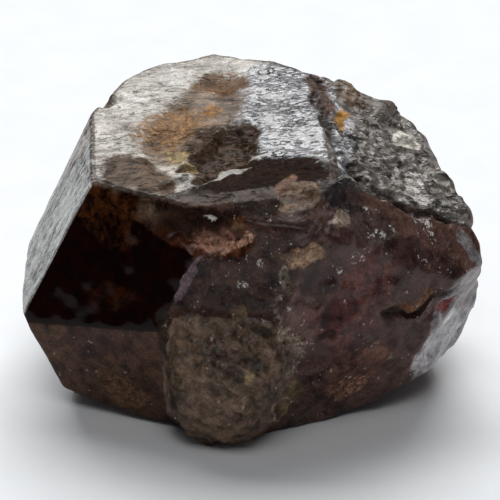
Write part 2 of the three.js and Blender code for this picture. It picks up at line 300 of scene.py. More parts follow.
@dataclass(frozen=True)
class Patch:
    """A hollow (positive depth), a bump or a mark: right, back and up in mm, one of them worked out."""

    face: str
    at_mm: Place
    turn: float
    half: tuple[float, float]
    soft: float
    depth: float = 0.0
    facing: tuple[float, float] = (0.0, 90.0)

    def share(self, p: Array, grow: float = 1.0, soft: float | None = None) -> Array:
        """How much of the full depth is reached at each point, 0 to 1.

        Args:
            p: points, mm.
            grow: factor on the patch's half sizes.
            soft: share of the half size over which the side slopes; the patch's own by default.

        Returns:
            One number for each point.
        """
        out = direction(*self.facing)
        side = np.cross([0.0, 0.0, 1.0], out)
        side /= np.linalg.norm(side)
        up = np.cross(out, side)
        t = math.radians(self.turn)
        long_way = side * math.cos(t) + up * math.sin(t)
        wide_way = np.cross(out, long_way)
        q = p - np.array(self.at_mm)
        away = np.hypot(q @ long_way / self.half[0], q @ wide_way / self.half[1]) / grow
        near = smooth(1.5 - np.abs(q @ out) / (max(self.half) * grow))
        return smooth((1.0 - away) / (soft or self.soft)) * near


@dataclass(frozen=True)
class Seam:
    """A crack or crease along a line of places, seen on the side of the stone that a face is on."""

    face: str
    points: tuple[Place, ...]
    width: float
    depth: float

    def away(self, p: Array) -> Array:
        """Distance of each point from the line.

        Args:
            p: points, mm.

        Returns:
            One number, mm, for each point.
        """
        best = np.full(len(p), np.inf)
        for a, b in zip(np.array(self.points[:-1]), np.array(self.points[1:])):
            along = b - a
            t = np.clip((p - a) @ along / (along @ along), 0.0, 1.0)
            best = np.minimum(best, np.linalg.norm(p - a - t[:, None] * along, axis=1))
        return best

    def share(self, p: Array, grow: float = 1.0) -> Array:
        """How much of the full depth is reached at each point, 0 to 1."""
        return np.exp(-((self.away(p) / (self.width * grow)) ** 2))


# ------------------------------------------------------------------------ the crystal's shape


@dataclass
class CrystalShape:
    """The crystal's distance function, with every driving size in millimetres."""

    middle: tuple[float, float, float] = MIDDLE
    set_down: tuple[float, float, float] = SET_DOWN
    detail_reach: float = 1.2
    inward_search: float = 1.6
    first_search: tuple[float, float] = (3.0, 20.0)
    halvings: tuple[int, int] = (14, 13)
    flat_below: float = 0.02
    broad_bending: float = 0.16
    small_bending: float = 0.06
    granular_fine: float = 0.05
    broken_swell: tuple[float, float] = (0.04, 0.02)
    hidden_swell: tuple[float, float] = (0.12, 0.05)
    lump_swell: tuple[float, float] = (0.05, 0.07)
    body_swell: float = 0.012
    top_swell: float = 0.035
    etched_grit: float = 0.07
    lump_blend: float = 0.5
    knob_blend: float = 0.3
    knob_at: tuple[float, float, float] = (11.25, 1.75, 9.75)
    knob_radius: float = 1.1
    body: FacedBody = field(
        default_factory=lambda: FacedBody(
            middle=MIDDLE,
            wear=0.09,
            faces={
                # the top, nearly level, and the grown faces at the front left
                "top": (-125, 83, 5.75),
                "skirt": (-130, 55, 7.75),
                "left": (*LEFT_FACE, 10.0),
                "window": (-120, 17, 6.75),
                "low_left": (-115, -15, 7.75),
                # the front and the broken right side
                "bevel": (-95, 65, 6.5),
                "front": (-100, 10, 6.25),
                "right_up": (-45, 35, 7.75),
                "right_mid": (-65, 0, 7.0),
                "right_low": (-65, -20, 7.5),
                "rim": (-35, -20, 10.25),
                "right": (15, 5, 12.0),
                "right_under": (5, -10, 13.5),
                "under_right": (10, -20, 13.0),
                "under_right_low": (-20, -65, 10.0),
                # the granular shoulder
                "shoulder": (-5, 60, 7.5),
                "right_top": (25, 5, BACK_REACH),
                "back_right_top": (50, 25, 13.5),
                "back_right_up": (45, 10, 13.75),
                # the hidden left side, back and underside
                "back_left_up": (135, 20, 13.5),
                "back_left_low": (155, 20, 12.0),
                **ring("side_left", -25, 12.5, (170, 185)),
                "back_top": (65, 40, 12.25),
                "back_top_left": (110, 40, 13.75),
                "back_middle": (80, -5, 12.0),
                **ring("back_wall", 0, BACK_REACH, (60, 110, 160)),
                **ring("foot", -45, FOOT_REACH, (50, 95, 140)),
                "under_left_back": (170, -60, 11.5),
                **ring("underside", -78, UNDER_REACH, (20, 95, 175, 235)),
                "base": (0, -90, MIDDLE[2]),
            },
        )
    )
    lump: FacedBody = field(
        default_factory=lambda: FacedBody(
            middle=(-1.0, -3.25, 4.0),
            wear=0.5,
            faces={
                "lump_front": (-100, 0, 5.0),
                "lump_brow": (-100, 30, 5.25),
                "lump_low": (-105, -30, 5.5),
                "lump_left": (-175, 0, 3.75),
                "lump_right": (-10, 0, 3.75),
                "lump_low_left": (-160, -40, 5.0),
                "lump_low_right": (-35, -25, 4.25),
                "lump_roof": (-100, 70, 4.5),
                "lump_rear": (90, 0, 2.0),
                "lump_foot": (0, -90, 4.0),
            },
        )
    )
    patches: dict[str, Patch] = field(
        default_factory=lambda: {
            # the etched hollow in the top, its small deep parts and the low dome beside it
            "basin": Patch("top", (-4.5, 2.5, None), 120, (4.5, 2.25), 0.8, 0.55),
            "pit": Patch("top", (-1.5, 0.5, None), 100, (3.5, 1.5), 0.6, 0.75),
            "hole": Patch("top", (-3.5, -0.5, None), 20, (0.8, 0.6), 0.6, 0.55),
            "spill": Patch("top", (-4.0, -2.25, None), 90, (1.5, 0.7), 0.8, 0.3),
            "lobe": Patch("top", (-6.5, -1.0, None), 150, (2.5, 1.5), 0.9, -0.12),
            "dimple": Patch("top", (-1.5, 9.0, None), 0, (1.25, 1.5), 0.7, 0.25),
            "nick": Patch("back_left_up", (-8.0, 7.75, None), 0, (0.8, 0.8), 0.6, 0.35),
            # the shell-shaped break under the front rim
            "shell": Patch("front", (-2.5, None, 12.25), 0, (3.0, 1.5), 0.8, 0.7),
            "shell_deep": Patch("bevel", (-2.5, None, 13.0), 0, (1.75, 0.8), 0.9, 0.2),
            # flakes and scars of the broken right side
            "fan": Patch("bevel", (2.5, -4.0, None), 80, (1.4, 1.2), 0.6, 0.1),
            "lens": Patch("right_up", (3.75, None, 12.5), 10, (1.75, 0.75), 0.6, 0.25),
            "sill": Patch("right_mid", (3.5, None, 11.25), 10, (1.25, 0.5), 0.8, -0.15),
            "undercut": Patch("right_mid", (10.5, None, 6.5), 10, (1.5, 0.75), 0.8, 0.35),
            "blot": Patch("right_low", (4.0, None, 3.5), 70, (1.1, 0.75), 0.6, 0.2),
            "scar": Patch("right_mid", (6.75, None, 9.5), 30, (2.5, 1.75), 0.9, 0.2),
            "scar_low": Patch("right_low", (6.75, None, 2.5), 160, (2.5, 1.5), 0.9, 0.2),
            "grain": Patch("shoulder", (8.75, 6.75, None), 80, (0.9, 0.7), 0.6, -0.3),
            # scars on the back
            "back_scar": Patch("back_middle", (1.0, None, 9.0), 15, (4.25, 2.5), 0.7, 0.7),
            "back_low": Patch("back_wall_2", (-5.5, None, 4.5), 60, (3.25, 2.0), 0.7, 0.5),
            "back_right": Patch("back_right_up", (8.0, None, 7.0), 100, (2.75, 2.0), 0.7, 0.5),
        }
    )
    seams: dict[str, Seam] = field(
        default_factory=lambda: {
            # where the top meets the shoulder, then down beside the broken side
            "shoulder": Seam(
                "top",
                ((3.75, 8.5, None), (3.75, 6.0, None), (4.75, 1.25, None), (5.5, -0.75, None),
                 (6.25, -1.75, None), (7.5, -1.75, None), (9.0, -1.25, None), (10.75, -0.5, None)),
                0.32, 0.35,
            ),
            # the crusted ridge right of the lump
            "crust": Seam(
                "front",
                ((2.25, None, 10.5), (1.5, None, 8.5), (1.5, None, 7.5), (2.5, None, 6.0),
                 (2.5, None, 5.0), (2.25, None, 3.5), (1.5, None, 1.75), (1.0, None, 0.5)),
                0.28, 0.3,
            ),
            # the creases left of the lump and over it
            "crease": Seam(
                "front",
                ((-4.75, None, 7.0), (-4.75, None, 5.5), (-4.5, None, 3.75), (-4.25, None, 2.0),
                 (-4.0, None, 0.5)),
                0.3, 0.3,
            ),
            "brow": Seam(
                "front",
                ((-4.25, None, 7.0), (-2.75, None, 7.25), (-0.5, None, 7.5), (1.5, None, 7.25)),
                0.28, 0.18,
            ),
            # the split under the right rim and a short slot beside the lump
            "notch": Seam(
                "right_mid",
                ((7.5, None, 6.5), (8.75, None, 7.0), (10.25, None, 7.25), (11.25, None, 7.5)),
                0.28, 0.4,
            ),
            "slot": Seam("right_mid", ((3.5, None, 6.0), (4.75, None, 6.25)), 0.26, 0.28),
        }
    )
    grains: Grains = Grains(61, (8.0, 3.5, 12.5), (5.0, 8.0, 4.0), 300, 0.4, 0.08, 6.0)
    granular: tuple[str, ...] = ("shoulder", "back_right_top", "back_right_up", "right_top")
    broken: tuple[str, ...] = (
        "right_up", "right_mid", "right_low", "rim", "right", "right_under", "under_right", "under_right_low",
    )
    hidden: tuple[str, ...] = (
        "back_top", "back_middle", "back_wall_1", "back_wall_2", "foot_1", "foot_2", "underside_1",
        "underside_2", "underside_3",
    )

    def __post_init__(self) -> None:
        """Lays hollows and seams on the faces and draws the waves that bend outlines."""
        self.patches = {name: self.laid_patch(patch) for name, patch in self.patches.items()}
        self.seams = {name: self.laid_seam(seam) for name, seam in self.seams.items()}
        self.broad_bend = [Waves(seed, 7, 2.6) for seed in (11, 12, 13)]
        self.small_bend = [Waves(seed, 7, 0.9) for seed in (31, 32, 33)]
        self.broad = Waves(52, 10, 3.0)
        self.fine = Waves(51, 16, 1.1)
        self.tiny = Waves(53, 20, 0.55)

    def facing(self, face: str) -> tuple[float, float]:
        """Compass direction and height angle of a named face of the body or the lump."""
        compass, height, _ = {**self.body.faces, **self.lump.faces}[face]
        return compass, height

    def laid(self, at_mm: Place, facing: tuple[float, float]) -> tuple[float, ...]:
        """Works out the missing value of a place on the flat faces.

        Args:
            at_mm: right, back and up, mm, one of them None.
            facing: compass direction and height angle of the side that the place is seen from.

        Returns:
            Right, back and up, mm.
        """
        axis = at_mm.index(None)
        way = float(np.sign(direction(*facing)[axis]))
        place = np.array([0.0 if value is None else value for value in at_mm])
        place[axis] = way * max(self.body.reach(place, axis, way), self.lump.reach(place, axis, way))
        return tuple(place)

    def laid_patch(self, patch: Patch) -> Patch:
        """The patch with its place and direction worked out from the faces."""
        facing = self.facing(patch.face)
        return replace(patch, at_mm=self.laid(patch.at_mm, facing), facing=facing)

    def laid_seam(self, seam: Seam) -> Seam:
        """The seam with its places worked out from the faces."""
        facing = self.facing(seam.face)
        return replace(seam, points=tuple(self.laid(point, facing) for point in seam.points))

    def bent(self, p: Array) -> Array:
        """The points moved a little, so that patches and seams get uneven outlines."""
        shift = [
            self.broad_bending * broad.at(p) + self.small_bending * small.at(p)
            for broad, small in zip(self.broad_bend, self.small_bend)
        ]
        return p + np.stack(shift, axis=1)

    def grown(self, p: Array, heights: Array) -> tuple[Array, Array]:
        """Distance outside the stone before any detail.

        Args:
            p: points, mm.
            heights: distance of each point outside each face of the body, mm.

        Returns:
            That distance, and how much farther off the lump is than the body (negative on the lump), mm.
        """
        body = self.body.distance(heights)
        lump = self.lump.distance(self.lump.heights(p))
        knob = np.linalg.norm(p - np.array(self.knob_at), axis=1) - self.knob_radius
        return join(join(body, lump, self.lump_blend), knob, self.knob_blend), lump - body

    def detail(self, p: Array, heights: Array, lump: Array) -> Array:
        """Depth of all detail.

        Args:
            p: points, mm.
            heights: distance of each point outside each face of the body, mm.
            lump: how much farther off the lump is than the body, mm.

        Returns:
            One depth, mm, for each point; positive goes into the stone.
        """
        q = self.bent(p)
        depth = np.zeros(len(p))
        for patch in self.patches.values():
            depth += patch.depth * patch.share(q)
        for seam in self.seams.values():
            depth += seam.depth * seam.share(q)
        broad, fine = self.broad.at(p), self.fine.at(p)
        granular = self.body.belongs(heights, self.granular)
        rough = granular > 0.01
        if rough.any():
            depth[rough] += granular[rough] * (self.grains.at(p[rough]) + self.granular_fine * fine[rough])
        swells = ((self.broken, self.broken_swell), (self.hidden, self.hidden_swell))
        for names, (broad_part, fine_part) in swells:
            depth += self.body.belongs(heights, names) * (broad_part * broad + fine_part * fine)
        depth += (self.body_swell + self.top_swell * self.body.belongs(heights, ("top",))) * broad
        depth += smooth(0.5 - lump / 0.5) * (self.lump_swell[1] * fine + self.lump_swell[0] * broad)
        etched = np.maximum(self.patches["pit"].share(q), 0.4 * self.patches["basin"].share(q))
        depth += etched * self.etched_grit * self.tiny.at(p)
        return depth * (1.0 - self.body.belongs(heights, ("base",)))

    def distance(self, p: Array) -> Array:
        """Distance outside the finished crystal.

        Args:
            p: points, mm.

        Returns:
            One number, mm, for each point.
        """
        heights = self.body.heights(p)
        grown, lump = self.grown(p, heights)
        near = np.abs(grown) < self.detail_reach
        if near.any():
            fade = smooth(1.6 - np.abs(grown[near]) / 0.8)
            grown[near] += fade * self.detail(p[near], heights[near], lump[near])
        return np.maximum(grown, -p[:, 2])

    def smooth_distance(self, p: Array) -> Array:
        """Distance outside the stone before any detail, mm."""
        return self.grown(p, self.body.heights(p))[0]

    def surface(self, ways: Array) -> Array:
        """The surface points along rays from the middle.

        Args:
            ways: unit vectors.

        Returns:
            One point (mm) for each ray, set flat on the ground where the stone rests.
        """
        middle = np.array(self.middle)
        first, second = self.halvings
        inside, outside = (np.full(len(ways), reach) for reach in self.first_search)
        inside, outside = self.bisect(self.smooth_distance, ways, inside, outside, first)
        inside, outside = inside - self.detail_reach * self.inward_search, outside + self.detail_reach
        inside, outside = self.bisect(self.distance, ways, inside, outside, second)
        points = middle + ways * ((inside + outside) / 2.0)[:, None]
        points[points[:, 2] < self.flat_below, 2] = 0.0
        return points

    def bisect(
        self, distance: Callable[[Array], Array], ways: Array, inside: Array, outside: Array, rounds: int
    ) -> tuple[Array, Array]:
        """Halves the stretch of each ray in which it leaves the stone.

        Args:
            distance: the distance function, mm.
            ways: the rays' directions from the middle.
            inside: a distance along each ray that is still in the stone, mm.
            outside: one that is outside it, mm.
            rounds: how often the stretch is halved.

        Returns:
            The new inside and outside.
        """
        middle = np.array(self.middle)
        for _ in range(rounds):
            half = (inside + outside) / 2.0
            within = self.in_parts(distance, middle + ways * half[:, None]) < 0.0
            inside, outside = np.where(within, half, inside), np.where(within, outside, half)
        return inside, outside

    @staticmethod
    def in_parts(function: Callable[[Array], Array], p: Array, size: int = 16000) -> Array:
        """Runs a function on the points a part at a time, to keep memory small."""
        return np.concatenate([function(p[i : i + size]) for i in range(0, len(p), size)])


# ------------------------------------------------------------------------ relief finer than the faces


@dataclass(frozen=True)
class Pits:
    """Shallow pits or grains, one at most in each cell of a jittered block of cells."""

    seed: int
    cell: tuple[float, float, float]
    present: float
    size: tuple[float, float]
    soft: float

    def chance(self, cells: Array, kind: int) -> Array:
        """A repeatable random number for each cell.

        Args:
            cells: three whole numbers for each cell.
            kind: which of the cell's random numbers.

        Returns:
            0 to 1 for each cell.
        """
        mixed = cells @ np.array(CELL_STEPS) + (self.seed + KIND_STEP * kind) * SEED_STEP
        for step in MIX_STEPS:
            mixed = (mixed % PRIME) * step + MIX_SHIFT
        return (mixed % PRIME) / PRIME

    def at(self, p: Array) -> Array:
        """How deep in a pit each point is.

        Args:
            p: points, mm.

        Returns:
            0 to 1 for each point.
        """
        q = p / np.array(self.cell)
        base = np.floor(q).astype(np.int64)
        deepest = np.zeros(len(p))
        for step in np.ndindex(3, 3, 3):
            cells = base + np.array(step) - 1
            place = cells + 0.5 + np.stack([self.chance(cells, k) - 0.5 for k in (1, 2, 3)], axis=1) * 0.8
            reach = self.size[0] + (self.size[1] - self.size[0]) * self.chance(cells, 4)
            away = np.linalg.norm(q - place, axis=1) / reach
            taken = self.chance(cells, 5) < self.present
            deepest = np.maximum(deepest, smooth((1.0 - away) / self.soft) * taken)
        return deepest


@dataclass
class Relief:
    """Etch pits, grains, chips, grit and crust: heights (mm) too small for the distance function."""

    etch: Pits = Pits(7, (1.1, 0.8, 0.7), 0.75, (0.25, 0.52), 0.35)
    small_etch: Pits = Pits(8, (0.55, 0.45, 0.45), 0.5, (0.25, 0.5), 0.5)
    chips: Pits = Pits(9, (1.3, 1.3, 1.3), 0.35, (0.2, 0.45), 0.5)
    nuggets: Pits = Pits(10, (0.85, 0.85, 0.85), 0.85, (0.35, 0.62), 0.75)
    etch_depth: float = 0.055
    nugget_height: float = 0.14
    chip_depth: float = 0.07
    grit_height: float = 0.03
    swell_height: float = 0.008
    crust_height: float = 0.12

    def __post_init__(self) -> None:
        """Draws the waves."""
        self.grit = Waves(71, 24, 0.5)
        self.swell = Waves(72, 14, 1.0)

    def heights(self, p: Array, grounds: dict[str, Array]) -> Array:
        """How far each point moves out of the stone.

        Args:
            p: surface points, mm.
            grounds: strength of every ground at them.

        Returns:
            Heights, mm; negative goes into the stone.
        """
        dirty = np.maximum(grounds["pit"], 0.7 * grounds["stain_ochre"])
        etched = np.maximum(grounds["left"], grounds["top"]) * (1.0 - dirty)
        rough = np.maximum.reduce(
            [grounds["pit"], 0.6 * grounds["granular"], 0.8 * grounds["lump"], grounds["crust"]]
        )
        grit, swell = self.grit.at(p), self.swell.at(p)
        height = -self.etch_depth * etched * np.maximum(self.etch.at(p), 0.5 * self.small_etch.at(p))
        lumpy = np.maximum(grounds["granular"], 0.7 * grounds["pit"])
        height += self.nugget_height * lumpy * (self.nuggets.at(p) - 0.5)
        height -= self.chip_depth * np.maximum(grounds["broken"], 0.5 * grounds["facet"]) * self.chips.at(p)
        height += self.grit_height * rough * grit + self.swell_height * swell
        height += self.crust_height * grounds["crust"] * self.small_etch.at(p + 3.0)
        return height * smooth(p[:, 2] / 0.4)


# ------------------------------------------------------------------------ grounds for the finish


@dataclass
class Grounds:
    """How strongly each vertex belongs to each kind of ground, read by the finish."""

    shape: CrystalShape
    verge_width: float = 0.5
    mark_growth: float = 1.12
    stains: dict[str, Patch] = field(
        default_factory=lambda: {
            # the hollow's stains, the wet grey plate and the dark edge on top
            "veil": Patch("top", (-3.25, 4.5, None), 100, (6.0, 3.0), 0.9),
            "brown": Patch("top", (-1.5, 8.5, None), 60, (1.75, 1.75), 0.9),
            "ochre": Patch("top", (-4.25, 4.25, None), 75, (3.0, 2.5), 0.9),
            "yellow": Patch("top", (-3.75, 1.0, None), 150, (2.0, 0.75), 0.9),
            "orange": Patch("top", (-2.0, 5.75, None), 70, (0.5, 0.5), 0.8),
            "rock": Patch("top", (-1.5, 1.75, None), 90, (3.25, 2.25), 0.8),
            "lobe": Patch("top", (-6.0, -1.25, None), 160, (3.5, 1.75), 0.7),
            "plate": Patch("top", (2.25, 4.0, None), 135, (7.5, 3.5), 0.5),
            "frost": Patch("top", (-5.5, 8.0, None), 65, (3.5, 2.25), 0.9),
            "brink": Patch("top", (0.75, -2.0, None), 35, (4.5, 2.5), 0.7),
            "ridge": Patch("top", (-2.5, -2.25, None), 60, (3.0, 0.3), 0.6),
            "lip": Patch("bevel", (-0.25, -4.0, None), 10, (5.5, 1.75), 0.7),
            # the left side, its pale top partly painted sheen, and the painted glints in the window: amber
            # reflections inside the dark glass, painted as colour
            "left_pink": Patch("left", (None, 5.0, 13.0), 125, (2.25, 2.0), 0.9),
            "left_dark": Patch("left", (None, 7.5, 14.25), 110, (1.0, 1.5), 0.9),
            "ember": Patch("window", (-7.5, None, 12.25), 150, (3.0, 2.0), 0.9),
            "ember_low": Patch("window", (-7.5, None, 7.75), 10, (2.0, 1.0), 0.9),
            "dusk": Patch("low_left", (-8.75, None, 4.75), 0, (1.75, 1.25), 0.9),
            "glow_low": Patch("low_left", (-7.0, None, 2.0), 175, (2.0, 1.25), 0.9),
            # the shell-shaped break, with painted shade under its overhanging rim and a painted copper glint
            # on its lower edge, and the front below it
            "shell_dark": Patch("bevel", (-2.5, None, 13.5), 170, (2.0, 1.25), 0.8),
            "copper": Patch("front", (-2.5, None, 12.0), 170, (2.0, 1.0), 0.9),
            "filament": Patch("front", (-1.0, None, 11.75), 25, (1.75, 0.25), 0.9),
            "amber": Patch("front", (-1.25, None, 12.75), 175, (1.25, 0.5), 0.9),
            "mauve": Patch("front", (-1.5, None, 13.25), 95, (1.0, 0.5), 0.9),
            "lilac": Patch("front", (-3.25, None, 9.5), 60, (1.75, 0.3), 0.6),
            "olive": Patch("front", (-0.75, None, 8.25), 45, (0.75, 0.5), 0.8),
            # the broken right side, from the fan down to the rust
            "fan_copper": Patch("bevel", (2.0, -3.25, None), 65, (1.25, 0.75), 0.5),
            "fan_olive": Patch("bevel", (2.75, -4.0, None), 55, (1.5, 1.0), 0.35),
            "slate": Patch("right_up", (5.0, None, 13.5), 0, (1.75, 1.25), 0.6),
            "haze": Patch("right_mid", (6.5, None, 11.75), 155, (2.25, 1.0), 0.9),
            "lens": Patch("right_mid", (3.75, None, 12.5), 5, (1.75, 0.75), 0.4),
            "pale_tip": Patch("right_mid", (5.0, None, 12.5), 20, (0.75, 0.5), 0.8),
            "sill": Patch("right_mid", (3.25, None, 11.25), 5, (1.25, 0.6), 0.8),
            "red": Patch("right_mid", (6.5, None, 10.25), 15, (0.75, 0.5), 0.8),
            "plum": Patch("right_mid", (5.5, None, 8.0), 35, (3.25, 2.75), 0.8),
            "plum_deep": Patch("right_mid", (4.75, None, 7.5), 45, (1.25, 1.25), 0.9),
            "wedge": Patch("right_mid", (9.25, None, 7.25), 15, (1.25, 0.4), 0.8),
            # painted shadow: a dark line under the ledge of the notch
            "dark_crack": Patch("right_mid", (9.0, None, 6.75), 15, (1.5, 0.25), 0.8),
            # glow: painted glow, light through the thin edge below the notch painted as red colour
            "glow": Patch("right_mid", (10.75, None, 6.5), 25, (0.75, 0.5), 0.8),
            "rim_top": Patch("right_mid", (12.0, None, 9.25), 100, (1.5, 0.5), 0.8),
            # pale: painted reflection, a bright silvery patch on the lower right rim
            "pale": Patch("rim", (10.5, None, 3.5), 45, (2.5, 2.5), 0.8),
            "bruise": Patch("right_low", (4.25, None, 5.25), 0, (2.5, 1.25), 0.9),
            "rust_wide": Patch("right_low", (5.25, None, 3.25), 20, (3.25, 2.0), 0.9),
            "rust": Patch("right_low", (5.5, None, 2.25), 5, (1.75, 0.75), 0.9),
            "blot": Patch("right_low", (3.75, None, 2.75), 120, (1.5, 0.75), 0.5),
            "moss": Patch("right_low", (2.25, None, 2.5), 90, (1.5, 0.5), 0.7),
            # the granular shoulder
            "umber": Patch("shoulder", (4.0, 6.75, None), 15, (3.25, 0.6), 0.8),
            "seam_ochre": Patch("shoulder", (5.0, 5.0, None), 10, (2.0, 0.5), 0.8),
            "shoulder_brown": Patch("shoulder", (5.5, 8.25, None), 60, (1.5, 1.5), 0.9),
            "shoulder_lilac": Patch("shoulder", (5.5, 5.5, None), 20, (2.0, 0.75), 0.9),
            "back_sh": Patch("shoulder", (6.75, 7.5, None), 25, (3.5, 1.5), 0.9),
            "white": Patch("shoulder", (9.0, 6.5, None), 60, (0.75, 1.5), 0.6),
            "pale_foot": Patch("shoulder", (9.25, 0.75, None), 20, (2.0, 1.0), 0.9),
            # the lump, with painted shade down the crease on its left
            "ring": Patch("lump_front", (0.0, None, 5.25), 0, (0.5, 0.5), 0.9),
            "crease": Patch("lump_front", (-4.25, None, 4.5), 90, (3.0, 0.5), 0.8),
        }
    )
    chips: tuple[Patch, ...] = (
        Patch("right_mid", (9.5, None, 10.75), 125, (1.0, 0.4), 0.9),
        Patch("right_mid", (6.75, None, 11.5), 145, (0.75, 0.3), 0.9),
        Patch("right_mid", (6.0, None, 10.5), 135, (0.75, 0.4), 0.9),
        Patch("right_mid", (5.0, None, 10.0), 155, (0.5, 0.3), 0.9),
        Patch("front", (0.5, None, 10.75), 150, (0.4, 0.4), 0.9),
        Patch("front", (-0.5, None, 9.5), 150, (0.4, 0.3), 0.9),
        Patch("front", (-2.5, None, 13.0), 145, (0.5, 0.3), 0.9),
        Patch("shoulder", (9.25, 2.5, None), 10, (2.25, 0.5), 0.9),
    )

    def __post_init__(self) -> None:
        """Lays the marks on the faces and draws the clumps in which pale flecks lie."""
        self.stains = {name: self.shape.laid_patch(patch) for name, patch in self.stains.items()}
        self.chips = tuple(self.shape.laid_patch(patch) for patch in self.chips)
        self.clumps = Waves(73, 16, 2.4)

    def at(self, p: Array) -> dict[str, Array]:
        """Strength of every ground at each point.

        Args:
            p: surface points, mm, in the shaping frame.

        Returns:
            Ground name to one number (0 to 1) for each point.
        """
        shape, body = self.shape, self.shape.body
        heights = body.heights(p)
        _, lump = shape.grown(p, heights)
        q = shape.bent(p)
        on_lump = smooth(0.5 - lump / 0.4)
        grounds = {
            "top": body.belongs(heights, ("top",), 0.35),
            "glass": body.belongs(heights, ("window", "skirt"), 0.3),
            "left": body.belongs(heights, ("left",), 0.2),
            "low_left": body.belongs(heights, ("low_left",), 0.3),
            "facet": body.belongs(heights, ("front", "bevel"), 0.4),
            "broken": body.belongs(heights, shape.broken, 0.5),
            "granular": body.belongs(heights, shape.granular, 0.5),
            "lump": on_lump,
            "hidden": body.belongs(heights, shape.hidden, 0.5),
            "verge": self.verge(heights),
            "rim": body.belongs(heights, ("rim",), 0.3),
            "pit": np.maximum(shape.patches["pit"].share(q, 1.05), shape.patches["hole"].share(q, 1.1)),
            "shell": shape.patches["shell"].share(q, 1.05, 0.4),
            "crack": np.maximum.reduce([shape.seams[k].share(q) for k in ("shoulder", "notch", "slot")]),
            "crust": shape.seams["crust"].share(q, 1.15),
            # painted shade: darkened along the creases left of the lump and over it
            "painted_crease_shade": np.maximum(shape.seams["crease"].share(q, 1.5), shape.seams["brow"].share(q, 1.2)),
        }
        for name in ("glass", "left", "low_left", "facet", "broken"):
            grounds[name] = grounds[name] * (1.0 - on_lump)
        for name, patch in self.stains.items():
            grounds["stain_" + name] = patch.share(q, self.mark_growth)
        grounds["chips"] = np.maximum.reduce([patch.share(q, self.mark_growth) for patch in self.chips])
        some = [0.7 * grounds["facet"], 0.5 * grounds["granular"], 0.3 * on_lump]
        flecked = np.maximum.reduce([grounds["broken"], grounds["crack"], *some])
        bare = np.maximum.reduce(
            [grounds["glass"], grounds["top"], grounds["shell"], 0.8 * grounds["stain_plum"]]
        )
        grounds["flecks"] = smooth((self.clumps.at(p) - 0.15) / 0.6) * flecked * (1.0 - bare)
        return grounds

    def verge(self, heights: Array) -> Array:
        """How near each point is to the edge round the top face, 0 to 1."""
        inside = self.shape.body.belongs(heights, ("top",), self.verge_width)
        return 4.0 * inside * (1.0 - inside)


# ------------------------------------------------------------------------ the mesh


@dataclass
class Crystal:
    """The crystal's skin: a ball of small triangles moved onto the shape."""

    shape: CrystalShape = field(default_factory=CrystalShape)
    relief: Relief = field(default_factory=Relief)
    steps: int = 98
    quick_steps: int = 60
    merging: float = 1e5

    def ball(self) -> tuple[Array, Array]:
        """An evenly divided ball.

        Returns:
            Its corners as unit vectors, and its triangles.
        """
        steps = self.steps
        gold = (1.0 + math.sqrt(5.0)) / 2.0
        corners = np.array(
            [(-1, gold, 0), (1, gold, 0), (-1, -gold, 0), (1, -gold, 0), (0, -1, gold), (0, 1, gold),
             (0, -1, -gold), (0, 1, -gold), (gold, 0, -1), (gold, 0, 1), (-gold, 0, -1), (-gold, 0, 1)]
        )
        sides = (
            (0, 11, 5), (0, 5, 1), (0, 1, 7), (0, 7, 10), (0, 10, 11), (1, 5, 9), (5, 11, 4), (11, 10, 2),
            (10, 7, 6), (7, 1, 8), (3, 9, 4), (3, 4, 2), (3, 2, 6), (3, 6, 8), (3, 8, 9), (4, 9, 5),
            (2, 4, 11), (6, 2, 10), (8, 6, 7), (9, 8, 1),
        )
        rows = [(i, j) for i in range(steps + 1) for j in range(steps + 1 - i)]
        number = {place: k for k, place in enumerate(rows)}
        grid = np.array([(i, j, steps - i - j) for i, j in rows]) / steps
        cells = [
            (number[i, j], number[i + 1, j], number[i, j + 1])
            for i in range(steps)
            for j in range(steps - i)
        ]
        cells += [
            (number[i + 1, j], number[i + 1, j + 1], number[i, j + 1])
            for i in range(steps)
            for j in range(steps - i - 1)
        ]
        points = np.concatenate([grid @ corners[list(side)] for side in sides])
        points /= np.linalg.norm(points, axis=1, keepdims=True)
        triangles = np.concatenate([np.array(cells) + k * len(rows) for k in range(len(sides))])
        rounded = np.round(points * self.merging).astype(np.int64)
        _, first, merged = np.unique(rounded, axis=0, return_index=True, return_inverse=True)
        return points[first], merged.reshape(-1)[triangles]

    def build(self) -> bpy.types.Object:
        """Makes the crystal's skin.

        Returns:
            One closed mesh object that carries its grounds as attributes.
        """
        ways, triangles = self.ball()
        points = self.shape.surface(ways)
        a, b, c = (points[triangles[:, k]] - np.array(self.shape.middle) for k in range(3))
        if (np.cross(b - a, c - a) * a).sum() < 0.0:
            triangles = triangles[:, ::-1]
        grounds = Grounds(self.shape).at(points)
        points = points + self.normals(points, triangles) * self.relief.heights(points, grounds)[:, None]
        mesh = bpy.data.meshes.new("crystal")
        mesh.from_pydata(((points + np.array(self.shape.set_down)) * MM).tolist(), [], triangles.tolist())
        mesh.update()
        mesh.shade_smooth()
        piece = bpy.data.objects.new("crystal", mesh)
        bpy.context.scene.collection.objects.link(piece)
        for name, values in grounds.items():
            layer = mesh.attributes.new(name, "FLOAT", "POINT")
            layer.data.foreach_set("value", values.astype(np.float32))
        return piece

    def normals(self, points: Array, triangles: Array) -> Array:
        """Outward directions of the skin.

        Args:
            points: its vertices, mm.
            triangles: its triangles.

        Returns:
            A unit vector for each vertex.
        """
        a, b, c = (points[triangles[:, k]] for k in range(3))
        turned = np.cross(b - a, c - a)
        total = np.zeros_like(points)
        for k in range(3):
            np.add.at(total, triangles[:, k], turned)
        return total / np.linalg.norm(total, axis=1, keepdims=True)


# ------------------------------------------------------------------------ writing nodes as expressions


